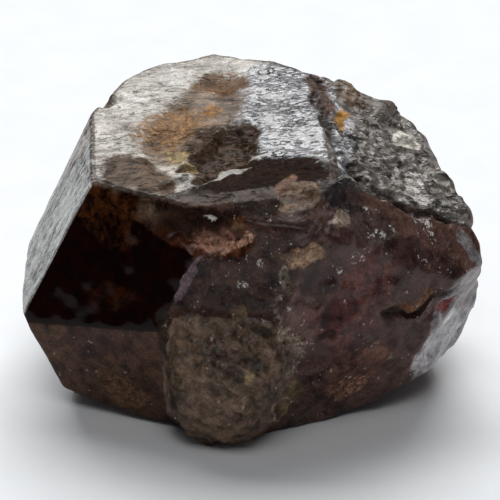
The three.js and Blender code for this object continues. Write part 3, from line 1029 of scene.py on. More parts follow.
class Sheet:
    """The nodes of one material or world."""

    def __init__(self, tree: bpy.types.NodeTree, prefix: str = "ShaderNode", clear: bool = True) -> None:
        """Starts from an empty tree, or goes on with one.

        Args:
            tree: where the nodes go.
            prefix: the usual beginning of their types.
            clear: whether the tree is emptied first.
        """
        self.tree, self.prefix = tree, prefix
        if clear:
            tree.nodes.clear()

    def add(self, kind: str, settings: dict[str, object] | None = None, **sockets: object) -> bpy.types.Node:
        """Adds one node.

        Args:
            kind: the node's type, without the usual beginning.
            settings: its own options, set before any socket.
            sockets: a value, term or socket for each input, by its name with _ for a space.

        Returns:
            The new node.
        """
        node = self.tree.nodes.new(self.prefix + kind)
        for name, value in (settings or {}).items():
            setattr(node, name, value)
        for name, value in sockets.items():
            self.set(node, name.replace("_", " "), value)
        return node

    def set(self, node: bpy.types.Node, name: str, value: object) -> None:
        """Gives one input of a node its value or link.

        Args:
            node: the node.
            name: the input's name; where several share it, the one in use is taken.
            value: a number, colour, term or socket.
        """
        socket = next(s for s in node.inputs if s.name == name and s.enabled)
        if isinstance(value, Term):
            value = value.socket
        if isinstance(value, bpy.types.NodeSocket):
            self.tree.links.new(value, socket)
        elif isinstance(value, tuple) and socket.type == "RGBA" and len(value) == 3:
            socket.default_value = (*value, 1.0)
        else:
            socket.default_value = value

    def out(self, node: bpy.types.Node, name: str = "") -> "Term":
        """One output of a node as a term; the first in use where no name is given."""
        return Term(self, next(s for s in node.outputs if s.enabled and (not name or s.name == name)))

    def ground(self, name: str) -> "Term":
        """A number kept at each vertex."""
        return self.out(self.add("Attribute", {"attribute_name": name}), "Fac")

    def vectors(self, operation: str, a: object, b: object = None, output: str = "") -> "Term":
        """A Vector Math node.

        Args:
            operation: what it does.
            a: the first vector.
            b: the second vector, or the number for SCALE.
            output: the output's name; the first in use by default.

        Returns:
            The node's output.
        """
        node = self.add("VectorMath", {"operation": operation})
        targets = (node.inputs[0], node.inputs["Scale"] if operation == "SCALE" else node.inputs[1])
        for target, value in zip(targets, (a, b)):
            if isinstance(value, Term):
                self.tree.links.new(value.socket, target)
            elif value is not None:
                target.default_value = value
        return self.out(node, output)

    def place(self) -> "Term":
        """Coordinates on the piece, mm."""
        return self.vectors("SCALE", self.out(self.add("TexCoord"), "Object"), MM_PER_M)

    def mix(self, factor: object, a: object, b: object) -> "Term":
        """Colour a turned into colour b by a factor."""
        return self.out(self.add("Mix", {"data_type": "RGBA"}, Factor=factor, A=a, B=b))

    def noise(
        self, place: "Term", per_mm: float, detail: float = 3.0, rough: float = 0.55, warp: float = 0.0
    ) -> "Term":
        """Cloudy noise, about 0.3 to 0.7.

        Args:
            place: coordinates, mm.
            per_mm: how many clouds fit in a millimetre.
            detail: how many finer layers are added.
            rough: how strong the finer layers are.
            warp: how far the clouds are twisted.

        Returns:
            The noise as a term.
        """
        node = self.add(
            "TexNoise", {"noise_dimensions": "3D"},
            Vector=place, Scale=per_mm, Detail=detail, Roughness=rough, Distortion=warp,
        )
        return self.out(node, "Fac" if "Fac" in node.outputs else "Factor")

    def noise_colour(self, place: "Term", per_mm: float) -> "Term":
        """Cloudy noise with three separate parts, for bending coordinates."""
        return self.out(self.add("TexNoise", Vector=place, Scale=per_mm, Detail=2.0, Roughness=0.6), "Color")

    def cells(self, place: "Term", per_mm: float) -> "Term":
        """One number from 0 to 1 for each cell of an irregular block of cells."""
        node = self.add("TexVoronoi", {"feature": "F1"}, Vector=place, Scale=per_mm, Randomness=1.0)
        return self.out(self.add("SeparateColor", Color=node.outputs["Color"]), "Red")


class Term:
    """One number in a tree, so that maths can be written as a plain expression."""

    def __init__(self, sheet: Sheet, socket: bpy.types.NodeSocket) -> None:
        """Wraps the socket that gives the number."""
        self.sheet, self.socket = sheet, socket

    def maths(self, operation: str, *values: object) -> "Term":
        """A Math node.

        Args:
            operation: what it does.
            values: its inputs, terms or numbers.

        Returns:
            Its result.
        """
        node = self.sheet.add("Math", {"operation": operation})
        for socket, value in zip(node.inputs, values):
            if isinstance(value, (Term, bpy.types.NodeSocket)):
                self.sheet.tree.links.new(getattr(value, "socket", value), socket)
            else:
                socket.default_value = value
        return self.sheet.out(node)

    def __add__(self, other: object) -> "Term":
        """Sum."""
        return self.maths("ADD", self, other)

    __radd__ = __add__

    def __sub__(self, other: object) -> "Term":
        """Difference."""
        return self.maths("SUBTRACT", self, other)

    def __rsub__(self, other: object) -> "Term":
        """Difference from a number."""
        return self.maths("SUBTRACT", other, self)

    def __mul__(self, other: object) -> "Term":
        """Product."""
        return self.maths("MULTIPLY", self, other)

    __rmul__ = __mul__

    def __or__(self, other: object) -> "Term":
        """The larger of the two."""
        return self.maths("MAXIMUM", self, other)

    def step(self, low: float, high: float) -> "Term":
        """0 below low, 1 above high, smooth between; the other way round where high is the smaller."""
        settings = {"interpolation_type": "SMOOTHSTEP"}
        return self.sheet.out(self.sheet.add("MapRange", settings, Value=self, From_Min=low, From_Max=high))


# ------------------------------------------------------------------------ pale flecks


@dataclass(frozen=True)
class Flecks:
    """Small pale grains stuck in the broken ground, scattered over the crystal's skin."""

    per_mm2: float = 3.0
    smallest: float = 0.02
    largest: float = 0.07
    seed: int = 12
    flat: tuple[float, float, float] = (1.0, 0.8, 0.55)

    def tree(self, material: bpy.types.Material) -> bpy.types.NodeTree:
        """The node tree that scatters the grains.

        Args:
            material: the finish of the grains.

        Returns:
            The tree, with its sizes (metres) as inputs.
        """
        tree = bpy.data.node_groups.new("flecks", "GeometryNodeTree")
        sheet = Sheet(tree, "GeometryNode")
        tree.interface.new_socket("Geometry", in_out="INPUT", socket_type="NodeSocketGeometry")
        for name in ("Density", "Smallest", "Largest"):
            tree.interface.new_socket(name, in_out="INPUT", socket_type="NodeSocketFloat")
        tree.interface.new_socket("Geometry", in_out="OUTPUT", socket_type="NodeSocketGeometry")
        start = tree.nodes.new("NodeGroupInput")
        room = sheet.add("InputNamedAttribute", {"data_type": "FLOAT"}, Name="flecks")
        share = Term(Sheet(tree, clear=False), sheet.out(room, "Attribute").socket)
        spread = sheet.add(
            "DistributePointsOnFaces", {"distribute_method": "RANDOM"},
            Mesh=start.outputs["Geometry"], Density=share * start.outputs["Density"], Seed=self.seed,
        )
        tools = Sheet(tree, "FunctionNode", clear=False)
        whole_turns = (math.tau, math.tau, math.tau)
        turn = tools.add("RandomValue", {"data_type": "FLOAT_VECTOR"}, Max=whole_turns, Seed=self.seed)
        size = tools.add(
            "RandomValue", {"data_type": "FLOAT"},
            Min=start.outputs["Smallest"], Max=start.outputs["Largest"], Seed=self.seed + 1,
        )
        ball = sheet.out(sheet.add("MeshIcoSphere", Radius=1.0), "Mesh")
        grain = sheet.add("Transform", Geometry=ball, Scale=self.flat)
        placed = sheet.add(
            "InstanceOnPoints", Points=spread.outputs["Points"], Instance=sheet.out(grain),
            Rotation=tools.out(turn), Scale=tools.out(size),
        )
        solid = sheet.add("RealizeInstances", Geometry=sheet.out(placed))
        finished = sheet.add("SetMaterial", Geometry=sheet.out(solid), Material=material)
        end = tree.nodes.new("NodeGroupOutput")
        tree.links.new(sheet.out(finished).socket, end.inputs["Geometry"])
        return tree

    def build(self, skin: bpy.types.Object, material: bpy.types.Material) -> bpy.types.Object:
        """The flecks as one plain mesh.

        Args:
            skin: the crystal, with its "flecks" attribute.
            material: their finish.

        Returns:
            The new piece.
        """
        host = bpy.data.objects.new("fleck host", skin.data)
        bpy.context.scene.collection.objects.link(host)
        modifier = host.modifiers.new("flecks", "NODES")
        modifier.node_group = self.tree(material)
        density = self.per_mm2 / MM**2
        values = {"Density": density, "Smallest": self.smallest * MM, "Largest": self.largest * MM}
        for item in modifier.node_group.interface.items_tree:
            if item.in_out == "INPUT" and item.name in values:
                modifier[item.identifier] = values[item.name]
        ready = host.evaluated_get(bpy.context.evaluated_depsgraph_get())
        mesh = bpy.data.meshes.new_from_object(ready)
        bpy.data.objects.remove(host)
        mesh.name = "flecks"
        piece = bpy.data.objects.new("flecks", mesh)
        bpy.context.scene.collection.objects.link(piece)
        return piece


# ------------------------------------------------------------------------ finishes


class Clouds(Enum):
    """Clouds of colour: how many fit in a millimetre, and how far they are drawn out sideways."""

    BROAD = (0.42, 1.0)
    MIDDLE = (1.3, 1.0)
    FINE = (3.4, 1.0)
    FLOW = (1.7, 2.6)
    FINE_FLOW = (3.6, 2.2)


@dataclass(frozen=True)
class Ground:
    """Colours, roughness and shine (share of a glass-like skin) of one kind of ground."""

    mask: str
    dark: Colour
    light: Colour
    rough: float
    shine: float
    clouds: Clouds = Clouds.MIDDLE
    ragged: float = 0.6
    share: float = 1.0
    bias: float = 0.5


def stain(name: str, *look: object) -> Ground:
    """The ground of one of the marks, by the mark's own name."""
    return Ground("stain_" + name, *look)


@dataclass(frozen=True)
class Layer:
    """Something thin over the grounds: where it is, its colour, and its gloss where that differs."""

    share: Term
    colour: Colour
    rough: float | None = None


@dataclass(frozen=True)
class CrystalFinish:
    """The crystal's skin: near black red-brown with its stained, frosted and broken grounds."""

    dark: Colour = (0.012, 0.007, 0.006)
    light: Colour = (0.05, 0.028, 0.022)
    rough: float = 0.3
    shine: float = 0.5
    ior: float = 1.54
    dull_level: float = 0.0
    glassy_level: float = 0.5
    speck: Colour = (0.55, 0.52, 0.48)
    speck_rough: float = 0.55
    etched: Colour = (0.07, 0.06, 0.055)
    frost: Colour = (0.66, 0.66, 0.64)
    dust: Colour = (0.3, 0.25, 0.22)
    cell_dark: Colour = (0.014, 0.006, 0.007)
    cell_light: Colour = (0.15, 0.08, 0.06)
    streak: Colour = (0.05, 0.04, 0.036)
    left_face: tuple[float, float] = LEFT_FACE
    base_steps: tuple[float, float] = (0.42, 0.62)
    edge_bend: float = 3.0
    edge_steps: tuple[float, float] = (0.08, 0.5)
    own_clouds: float = 0.65
    broad_clouds: float = 0.35
    tint_half: float = 0.13
    grit_shade: tuple[float, float] = (0.74, 0.56)
    rough_spread: tuple[float, float] = (0.7, 0.6)
    earthy: tuple[str, ...] = ("pit", "ochre", "rock", "brown", "yellow", "lobe", "brink", "veil", "lip")
    grounds: tuple[Ground, ...] = (
        Ground("hidden", (0.02, 0.01, 0.006), (0.13, 0.08, 0.055), 0.5, 0.4),
        Ground("broken", (0.022, 0.01, 0.008), (0.12, 0.062, 0.05), 0.28, 0.45),
        Ground("facet", (0.01, 0.005, 0.004), (0.07, 0.034, 0.024), 0.26, 0.35),
        stain("haze", (0.05, 0.04, 0.036), (0.22, 0.18, 0.165), 0.3, 0.4, Clouds.FINE, 1.6, 0.35),
        stain("bruise", (0.012, 0.004, 0.004), (0.08, 0.03, 0.024), 0.3, 0.4, Clouds.MIDDLE, 1.2, 0.8),
        stain("plum", (0.026, 0.006, 0.005), (0.15, 0.055, 0.045), 0.28, 0.4, Clouds.MIDDLE, 1.0, 0.85),
        stain("plum_deep", (0.014, 0.001, 0.001), (0.09, 0.016, 0.01), 0.25, 0.3, Clouds.MIDDLE, 1.2, 0.9),
        # rim: its pale grey is painted reflection of the bright surroundings at a grazing angle, over the
        # stone's dark colour
        Ground("rim", (0.1, 0.09, 0.095), (0.36, 0.33, 0.34), 0.3, 0.8, Clouds.MIDDLE, 1.4, 0.7),
        Ground("glass", (0.002, 0.0001, 5e-05), (0.008, 0.0005, 5e-05), 0.1, 0.2, Clouds.MIDDLE, 0.2),
        # painted glints: amber light reflected inside the dark window, painted into its colour
        stain("ember", (0.003, 0.0004, 5e-05), (0.1, 0.03, 0.008), 0.12, 0.15, Clouds.MIDDLE, 1.6, 0.8, 0.54),
        stain(
            "ember_low", (0.002, 0.0002, 5e-05), (0.035, 0.008, 0.002), 0.15, 0.15, Clouds.MIDDLE, 1.4, 0.7
        ),
        Ground("low_left", (0.012, 0.006, 0.004), (0.085, 0.042, 0.026), 0.4, 0.25),
        stain("dusk", (0.01, 0.004, 0.003), (0.05, 0.018, 0.014), 0.35, 0.3, Clouds.MIDDLE, 1.2, 0.8),
        stain("glow_low", (0.03, 0.012, 0.006), (0.19, 0.1, 0.05), 0.35, 0.3, Clouds.FINE, 1.2, 0.8),
        # left face: its pale grey is partly painted reflection of the bright surroundings at a grazing angle,
        # over its own etched streaks
        Ground("left", (0.11, 0.112, 0.108), (0.42, 0.42, 0.41), 0.2, 0.8, Clouds.MIDDLE, 0.3),
        # the paler pinkish top of the left face: partly its own tone, partly painted sheen
        stain("left_pink", (0.22, 0.17, 0.16), (0.5, 0.42, 0.4), 0.3, 0.7, Clouds.FINE, 1.4, 0.6),
        stain("left_dark", (0.02, 0.014, 0.01), (0.12, 0.08, 0.06), 0.3, 0.6, Clouds.FINE, 1.6, 0.9),
        Ground("granular", (0.012, 0.009, 0.007), (0.22, 0.195, 0.17), 0.3, 0.6),
        Ground("lump", (0.02, 0.01, 0.005), (0.19, 0.12, 0.078), 0.4, 0.5),
        stain("ring", (0.08, 0.05, 0.02), (0.36, 0.26, 0.13), 0.5, 0.5, Clouds.FINE, 1.2, 0.8),
        # painted shade in the crease left of the lump, and along the creases beside and over it
        stain("crease", (0.01, 0.006, 0.003), (0.09, 0.065, 0.035), 0.6, 0.2, Clouds.FINE, 1.4, 0.9),
        Ground("painted_crease_shade", (0.006, 0.003, 0.002), (0.03, 0.018, 0.01), 0.5, 0.2, Clouds.FINE, 1.5, 0.85),
        Ground("crust", (0.07, 0.05, 0.032), (0.6, 0.5, 0.4), 0.6, 0.25, Clouds.FINE, 2.6, 0.75, 0.52),
        Ground("shell", (0.014, 0.003, 0.001), (0.1, 0.03, 0.012), 0.25, 0.25),
        # painted glint: the shell's bright copper lower edge, light reflected inside the stone painted as
        # colour
        stain("copper", (0.06, 0.02, 0.011), (0.75, 0.4, 0.28), 0.25, 0.3, Clouds.MIDDLE, 1.4, 0.9, 0.52),
        stain("filament", (0.1, 0.04, 0.02), (0.9, 0.52, 0.36), 0.3, 0.3, Clouds.FINE, 2.0, 0.8, 0.54),
        stain("amber", (0.03, 0.014, 0.005), (0.24, 0.11, 0.04), 0.3, 0.3, Clouds.FINE, 1.4, 0.8),
        # painted shade: darkened under the rim that overhangs the shell
        stain(
            "shell_dark", (0.003, 0.0005, 0.0002), (0.03, 0.006, 0.0015), 0.2, 0.05, Clouds.MIDDLE, 1.2, 0.95
        ),
        stain("mauve", (0.03, 0.02, 0.024), (0.16, 0.12, 0.15), 0.4, 0.2, Clouds.FINE, 1.8, 0.4),
        stain("lilac", (0.04, 0.026, 0.035), (0.22, 0.15, 0.17), 0.4, 0.4, Clouds.FINE, 1.6, 0.85),
        Ground("top", (0.14, 0.118, 0.09), (0.58, 0.545, 0.49), 0.38, 0.6, Clouds.FLOW, 0.4),
        stain("frost", (0.2, 0.18, 0.15), (0.64, 0.62, 0.57), 0.42, 0.5, Clouds.FLOW, 1.2, 0.85),
        stain("plate", (0.05, 0.048, 0.05), (0.26, 0.265, 0.28), 0.16, 0.95, Clouds.FINE_FLOW, 0.9, 0.97),
        stain("lobe", (0.012, 0.006, 0.003), (0.12, 0.072, 0.042), 0.35, 0.12, Clouds.FLOW, 1.4, 0.95),
        stain("brink", (0.004, 0.002, 0.001), (0.03, 0.015, 0.009), 0.4, 0.03, Clouds.FINE, 1.6),
        stain("lip", (0.004, 0.002, 0.001), (0.028, 0.013, 0.008), 0.4, 0.03, Clouds.FINE, 1.4, 0.9),
        stain("veil", (0.045, 0.022, 0.01), (0.22, 0.135, 0.075), 0.5, 0.2, Clouds.FLOW, 1.5, 0.8),
        stain("ochre", (0.04, 0.016, 0.005), (0.34, 0.19, 0.085), 0.5, 0.15, Clouds.FINE, 2.0, 0.9),
        stain("rock", (0.005, 0.003, 0.001), (0.08, 0.046, 0.028), 0.45, 0.12, Clouds.FINE, 1.8),
        Ground("pit", (0.005, 0.003, 0.001), (0.09, 0.055, 0.035), 0.5, 0.2, Clouds.FINE, 1.0),
        stain("yellow", (0.08, 0.05, 0.018), (0.42, 0.32, 0.16), 0.6, 0.15, Clouds.FINE, 2.0, 0.8),
        stain("brown", (0.022, 0.009, 0.004), (0.2, 0.11, 0.055), 0.5, 0.08, Clouds.FINE, 2.0, 0.9),
        stain("orange", (0.1, 0.04, 0.01), (0.5, 0.25, 0.07), 0.5, 0.15, Clouds.FINE, 1.6, 0.8),
        Ground("verge", (0.012, 0.006, 0.004), (0.1, 0.065, 0.045), 0.4, 0.3, Clouds.FINE, 2.0, 0.8),
        stain("ridge", (0.14, 0.12, 0.1), (0.4, 0.38, 0.35), 0.4, 0.4, Clouds.FINE, 1.3, 0.9),
        stain("back_sh", (0.025, 0.02, 0.017), (0.18, 0.155, 0.135), 0.35, 0.5, Clouds.MIDDLE, 1.4, 0.8),
        stain("shoulder_brown", (0.03, 0.018, 0.01), (0.2, 0.13, 0.08), 0.4, 0.4, Clouds.FINE, 1.6, 0.8),
        stain("shoulder_lilac", (0.08, 0.07, 0.075), (0.36, 0.33, 0.35), 0.3, 0.6, Clouds.FLOW, 1.4, 0.7),
        stain("umber", (0.008, 0.003, 0.0015), (0.09, 0.035, 0.016), 0.4, 0.2, Clouds.FINE, 1.3, 0.95),
        stain("seam_ochre", (0.1, 0.04, 0.01), (0.5, 0.26, 0.07), 0.5, 0.3, Clouds.FINE, 1.3),
        stain("pale_foot", (0.1, 0.085, 0.07), (0.62, 0.6, 0.56), 0.4, 0.6, Clouds.MIDDLE, 1.7, 0.85),
        Ground("crack", (0.005, 0.003, 0.002), (0.03, 0.018, 0.012), 0.5, 0.3, Clouds.FINE, 1.3, 0.9),
        stain("fan_copper", (0.05, 0.02, 0.01), (0.26, 0.12, 0.065), 0.25, 0.15, Clouds.FINE_FLOW, 1.2, 0.85),
        stain("fan_olive", (0.04, 0.024, 0.014), (0.22, 0.15, 0.1), 0.25, 0.1, Clouds.FINE, 1.0),
        stain("slate", (0.008, 0.008, 0.009), (0.045, 0.042, 0.046), 0.3, 0.3, Clouds.MIDDLE, 1.6, 0.8),
        stain("red", (0.05, 0.008, 0.006), (0.17, 0.035, 0.028), 0.3, 0.4, Clouds.FINE, 1.6, 0.4),
        stain("olive", (0.05, 0.032, 0.014), (0.28, 0.19, 0.09), 0.4, 0.4, Clouds.FINE, 1.4, 0.8),
        stain("lens", (0.026, 0.014, 0.013), (0.16, 0.1, 0.085), 0.22, 0.4, Clouds.MIDDLE, 0.8),
        stain("pale_tip", (0.12, 0.09, 0.06), (0.5, 0.4, 0.3), 0.4, 0.4, Clouds.FINE, 1.2, 0.9),
        stain("sill", (0.12, 0.07, 0.035), (0.62, 0.4, 0.25), 0.5, 0.3, Clouds.FINE, 1.3),
        # painted glow: light through the thin edge, painted as red
        stain("glow", (0.06, 0.006, 0.005), (0.4, 0.04, 0.03), 0.25, 0.3, Clouds.FINE, 1.6, 0.85),
        stain("wedge", (0.03, 0.01, 0.005), (0.24, 0.11, 0.045), 0.35, 0.2, Clouds.FINE, 1.4, 0.8),
        # painted shadow under the notch's ledge
        stain("dark_crack", (0.003, 0.001, 0.001), (0.02, 0.008, 0.006), 0.4, 0.1, Clouds.FINE, 1.0),
        stain("blot", (0.01, 0.005, 0.006), (0.05, 0.026, 0.027), 0.3, 0.3, Clouds.MIDDLE, 0.8),
        stain("moss", (0.05, 0.036, 0.014), (0.3, 0.23, 0.09), 0.5, 0.3, Clouds.FINE, 1.8, 0.65),
        stain("rust_wide", (0.05, 0.018, 0.011), (0.3, 0.13, 0.08), 0.3, 0.3, Clouds.MIDDLE, 1.6, 0.55, 0.54),
        stain("rust", (0.08, 0.03, 0.018), (0.8, 0.42, 0.26), 0.4, 0.3, Clouds.FINE, 1.8, 0.7, 0.56),
        # painted reflection: the silvery patch on the lower right rim
        stain("pale", (0.24, 0.22, 0.235), (0.85, 0.82, 0.84), 0.3, 0.9, Clouds.MIDDLE, 1.2, 0.85),
        stain("rim_top", (0.07, 0.065, 0.065), (0.32, 0.3, 0.3), 0.35, 0.8, Clouds.FINE, 1.2, 0.8),
        stain("white", (0.34, 0.31, 0.26), (0.78, 0.75, 0.67), 0.4, 0.5, Clouds.FINE, 1.0),
    )

    def build(self) -> bpy.types.Material:
        """Makes the material.

        Returns:
            The grounds laid over one another, then the thin layers over them all.
        """
        material = bpy.data.materials.new("zircon")
        material.use_nodes = True
        sheet = Sheet(material.node_tree)
        place = sheet.place()
        clouds = {kind: self.cloud(sheet, place, *kind.value) for kind in Clouds}
        colour = sheet.mix(clouds[Clouds.BROAD].step(*self.base_steps), self.dark, self.light)
        rough, shine = self.rough, self.shine
        edge = (clouds[Clouds.MIDDLE] + clouds[Clouds.FINE]) * 0.5 - 0.5
        shares = {}
        for ground in self.grounds:
            mask = sheet.ground(ground.mask)
            bent = mask * (edge * (ground.ragged * self.edge_bend) + 1.0)
            share = bent.step(*self.edge_steps) * ground.share
            blend = clouds[ground.clouds] * self.own_clouds + clouds[Clouds.BROAD] * self.broad_clouds
            lightness = blend.step(ground.bias - self.tint_half, ground.bias + self.tint_half)
            tint = sheet.mix(lightness, ground.dark, ground.light)
            colour = sheet.mix(share, colour, tint)
            rough = rough + (ground.rough - rough) * share
            shine = shine + (ground.shine - shine) * share
            shares[ground.mask] = share
        layers = self.layers(sheet, place, shares)
        for layer in layers:
            colour = sheet.mix(layer.share, colour, layer.colour)
            if layer.rough is not None:
                rough = rough + (layer.rough - rough) * layer.share
        grit = sheet.noise(place, 8.0, 3.0, 0.6).step(0.3, 0.7)
        colour = sheet.vectors("SCALE", colour, self.grit_shade[0] + grit * self.grit_shade[1])
        rough = rough * (self.rough_spread[0] + clouds[Clouds.FINE] * self.rough_spread[1])
        normal = self.relief(sheet, place, shares, layers[0].share)
        dull, glassy = (
            sheet.add(
                "BsdfPrincipled", IOR=self.ior, Specular_IOR_Level=level,
                Base_Color=colour, Roughness=rough, Normal=normal,
            )
            for level in (self.dull_level, self.glassy_level)
        )
        skin = sheet.add("MixShader", Fac=shine)
        sheet.tree.links.new(dull.outputs[0], skin.inputs[1])
        sheet.tree.links.new(glassy.outputs[0], skin.inputs[2])
        sheet.add("OutputMaterial", Surface=skin.outputs[0])
        return material

    def layers(self, sheet: Sheet, place: Term, shares: dict[str, Term]) -> list[Layer]:
        """What lies over the grounds: etched pits, streaks, darker cells and pale specks.

        Args:
            sheet: the material's nodes.
            place: coordinates, mm.
            shares: how much of each ground is at each place.

        Returns:
            The layers from the lowest up, the etched pits first.
        """
        inner = shares["broken"] | (shares["facet"] | (shares["lump"] * 0.5 | shares["low_left"] * 0.4))
        inner = inner * (1.0 - (shares["glass"] | (shares["top"] | shares["shell"])))
        flecked = inner | shares["granular"]
        frosted = shares["top"]
        for name in self.earthy:
            frosted = frosted * (1.0 - shares[name if name in shares else "stain_" + name])
        warped = self.warp(sheet, place, 0.9, 1.4)
        bent = self.warp(sheet, place, 2.0, 0.5)
        cells = sheet.cells(warped, 0.42)
        patchy = sheet.noise(place, 1.1, 3.0, 0.6)
        large_pits = self.spots(sheet, bent, 1.0, (0.36, 0.26), 0.45)
        pits = large_pits | self.spots(sheet, bent, 2.3, (0.34, 0.24), 0.6)
        flow = self.cloud(sheet, warped, 1.5, 1.3)
        crumbs = sheet.noise(bent, 2.1, 6.0, 0.72)
        dust = sheet.noise(bent, 5.2, 3.0, 0.65)
        clumps = sheet.noise(place, 0.7, 2.0, 0.5)
        chipped = sheet.ground("chips").step(0.1, 0.5)
        speck_rough = self.speck_rough
        return [
            Layer(pits * frosted * patchy.step(0.42, 0.52) * 0.8, self.etched),
            Layer(flow.step(0.45, 0.37) * frosted * 0.5, self.etched),
            Layer(flow.step(0.55, 0.66) * frosted * 0.5, self.frost),
            Layer(self.streaks(sheet, place, 2.2).step(0.52, 0.6) * shares["left"] * 0.75, self.streak),
            Layer(self.streaks(sheet, place, 4.0).step(0.55, 0.62) * shares["left"] * 0.6, self.frost),
            Layer(cells.step(0.62, 0.68) * inner * 0.4, self.cell_dark),
            Layer(cells.step(0.34, 0.28) * inner * 0.18, self.cell_light),
            Layer(dust.step(0.6, 0.72) * flecked * clumps.step(0.42, 0.56) * 0.3, self.dust, speck_rough),
            Layer(crumbs.step(0.62, 0.67) * flecked * clumps.step(0.42, 0.54) * 0.9, self.speck, speck_rough),
            Layer((dust * 0.5 + crumbs * 0.5).step(0.49, 0.54) * chipped * 0.9, self.speck, speck_rough),
        ]

    @staticmethod
    def cloud(sheet: Sheet, place: Term, per_mm: float, drawn: float) -> Term:
        """Clouds of this scale with fine ragged detail, drawn out sideways by a factor."""
        stretched = sheet.vectors("MULTIPLY", place, (1.0 / drawn, 1.0, 1.0))
        return sheet.noise(stretched, per_mm, 7.0, 0.68, 0.5)

    @staticmethod
    def warp(sheet: Sheet, place: Term, per_mm: float, reach: float) -> Term:
        """Coordinates bent by cloudy noise, by up to half the reach in mm."""
        return sheet.vectors("ADD", place, sheet.vectors("SCALE", sheet.noise_colour(place, per_mm), reach))

    @staticmethod
    def spots(sheet: Sheet, place: Term, per_mm: float, reach: tuple[float, float], rare: float) -> Term:
        """Scattered ragged spots, as a share of each place.

        Args:
            sheet: the material's nodes.
            place: coordinates, mm.
            per_mm: cells to a millimetre, at most one spot in each.
            reach: where a spot ends and where it is whole, as shares of a cell.
            rare: share of the cells with no spot.

        Returns:
            The share of the spots' colour.
        """
        cells = sheet.add("TexVoronoi", {"feature": "F1"}, Vector=place, Scale=per_mm, Randomness=1.0)
        parts = sheet.add("SeparateColor", Color=cells.outputs["Color"])
        ragged = sheet.noise(place, 4.0 * per_mm, 3.0, 0.7)
        smaller = sheet.out(parts, "Green") * (0.6 * reach[0])
        near = sheet.out(cells, "Distance") + (ragged - 0.5) * 0.4 + smaller
        return near.step(*reach) * sheet.out(parts, "Red").step(rare, rare + 0.03)

    def streaks(self, sheet: Sheet, place: Term, per_mm: float) -> Term:
        """Noise drawn out into fine streaks down the left face.

        Args:
            sheet: the material's nodes.
            place: coordinates, mm.
            per_mm: how many streaks fit in a millimetre.

        Returns:
            The noise as a term.
        """
        compass, height = self.left_face
        along = direction(compass, height - 90.0)
        down = sheet.vectors("DOT_PRODUCT", place, tuple(along), "Value")
        pressed = sheet.vectors("SUBTRACT", place, sheet.vectors("SCALE", tuple(along), down * 0.9))
        return sheet.noise(pressed, per_mm, 4.0, 0.65)

    def relief(self, sheet: Sheet, place: Term, shares: dict[str, Term], etched: Term) -> Term:
        """Relief too fine for the mesh, as a normal.

        Args:
            sheet: the material's nodes.
            place: coordinates, mm.
            shares: how much of each ground is at each place.
            etched: how deep in an etched pit each place is.

        Returns:
            The bent normal.
        """
        grit = sheet.noise(place, 6.0, 2.0, 0.5)
        swell = sheet.noise(place, 2.0, 1.5, 0.5)
        patchy = sheet.noise(place, 0.5, 1.0, 0.5).step(0.38, 0.6)
        drops = sheet.noise(sheet.vectors("MULTIPLY", place, (0.5, 1.0, 1.0)), 3.2, 1.0, 0.5)
        nuggets = sheet.add(
            "TexVoronoi", {"feature": "SMOOTH_F1"}, Vector=place, Scale=1.4, Randomness=1.0, Smoothness=0.4
        )
        rough = (shares["top"] * 0.2) | (
            shares["lump"] | (shares["pit"] | (shares["granular"] * 0.6 | shares["broken"] * 0.35))
        )
        wet = shares["top"] * 0.5 | (shares["left"] * 0.5 | (shares["stain_plate"] | shares["granular"]))
        wet = wet * (1.0 - shares["stain_brink"])
        calm = 1.0 - shares["glass"] * 0.85
        height = (grit * (0.002 + 0.024 * rough) + swell * (0.04 + 0.1 * wet)) * calm - etched * 0.08
        height = height + sheet.out(nuggets, "Distance") * (0.22 * shares["granular"])
        height = height + drops.step(0.4, 0.6) * (patchy * 0.12 * wet)
        bump = sheet.add("Bump", Strength=1.0, Distance=0.001, Height=height)
        return sheet.out(bump)


@dataclass(frozen=True)
class PlainFinish:
    """One plain colour with a little cloudiness."""

    name: str
    dark: Colour
    light: Colour
    rough: float
    per_mm: float
    level: float = 0.3

    def build(self) -> bpy.types.Material:
        """Makes the material.

        Returns:
            The plain, slightly cloudy finish.
        """
        material = bpy.data.materials.new(self.name)
        material.use_nodes = True
        sheet = Sheet(material.node_tree)
        place = sheet.place()
        colour = sheet.mix(sheet.noise(place, self.per_mm).step(0.3, 0.7), self.dark, self.light)
        shader = sheet.add(
            "BsdfPrincipled", Roughness=self.rough, Specular_IOR_Level=self.level, Base_Color=colour
        )
        sheet.add("OutputMaterial", Surface=shader.outputs[0])
        return material


# ------------------------------------------------------------------------ studio


@dataclass(frozen=True)
class Lamp:
    """A rectangular light that faces the stone; degrees and mm about the origin."""

    name: str
    compass: float
    height: float
    distance: float
    size: tuple[float, float]
    radiance: float

    def build(self) -> None:
        """Makes the light."""
        lamp = bpy.data.lights.new(self.name, "AREA")
        lamp.shape = "RECTANGLE"
        lamp.size, lamp.size_y = (side * MM for side in self.size)
        lamp.energy = math.pi * self.radiance * lamp.size * lamp.size_y
        holder = bpy.data.objects.new(self.name, lamp)
        way = Vector(direction(self.compass, self.height))
        holder.location = way * self.distance * MM
        holder.rotation_euler = (-way).to_track_quat("-Z", "Y").to_euler()
        bpy.context.scene.collection.objects.link(holder)


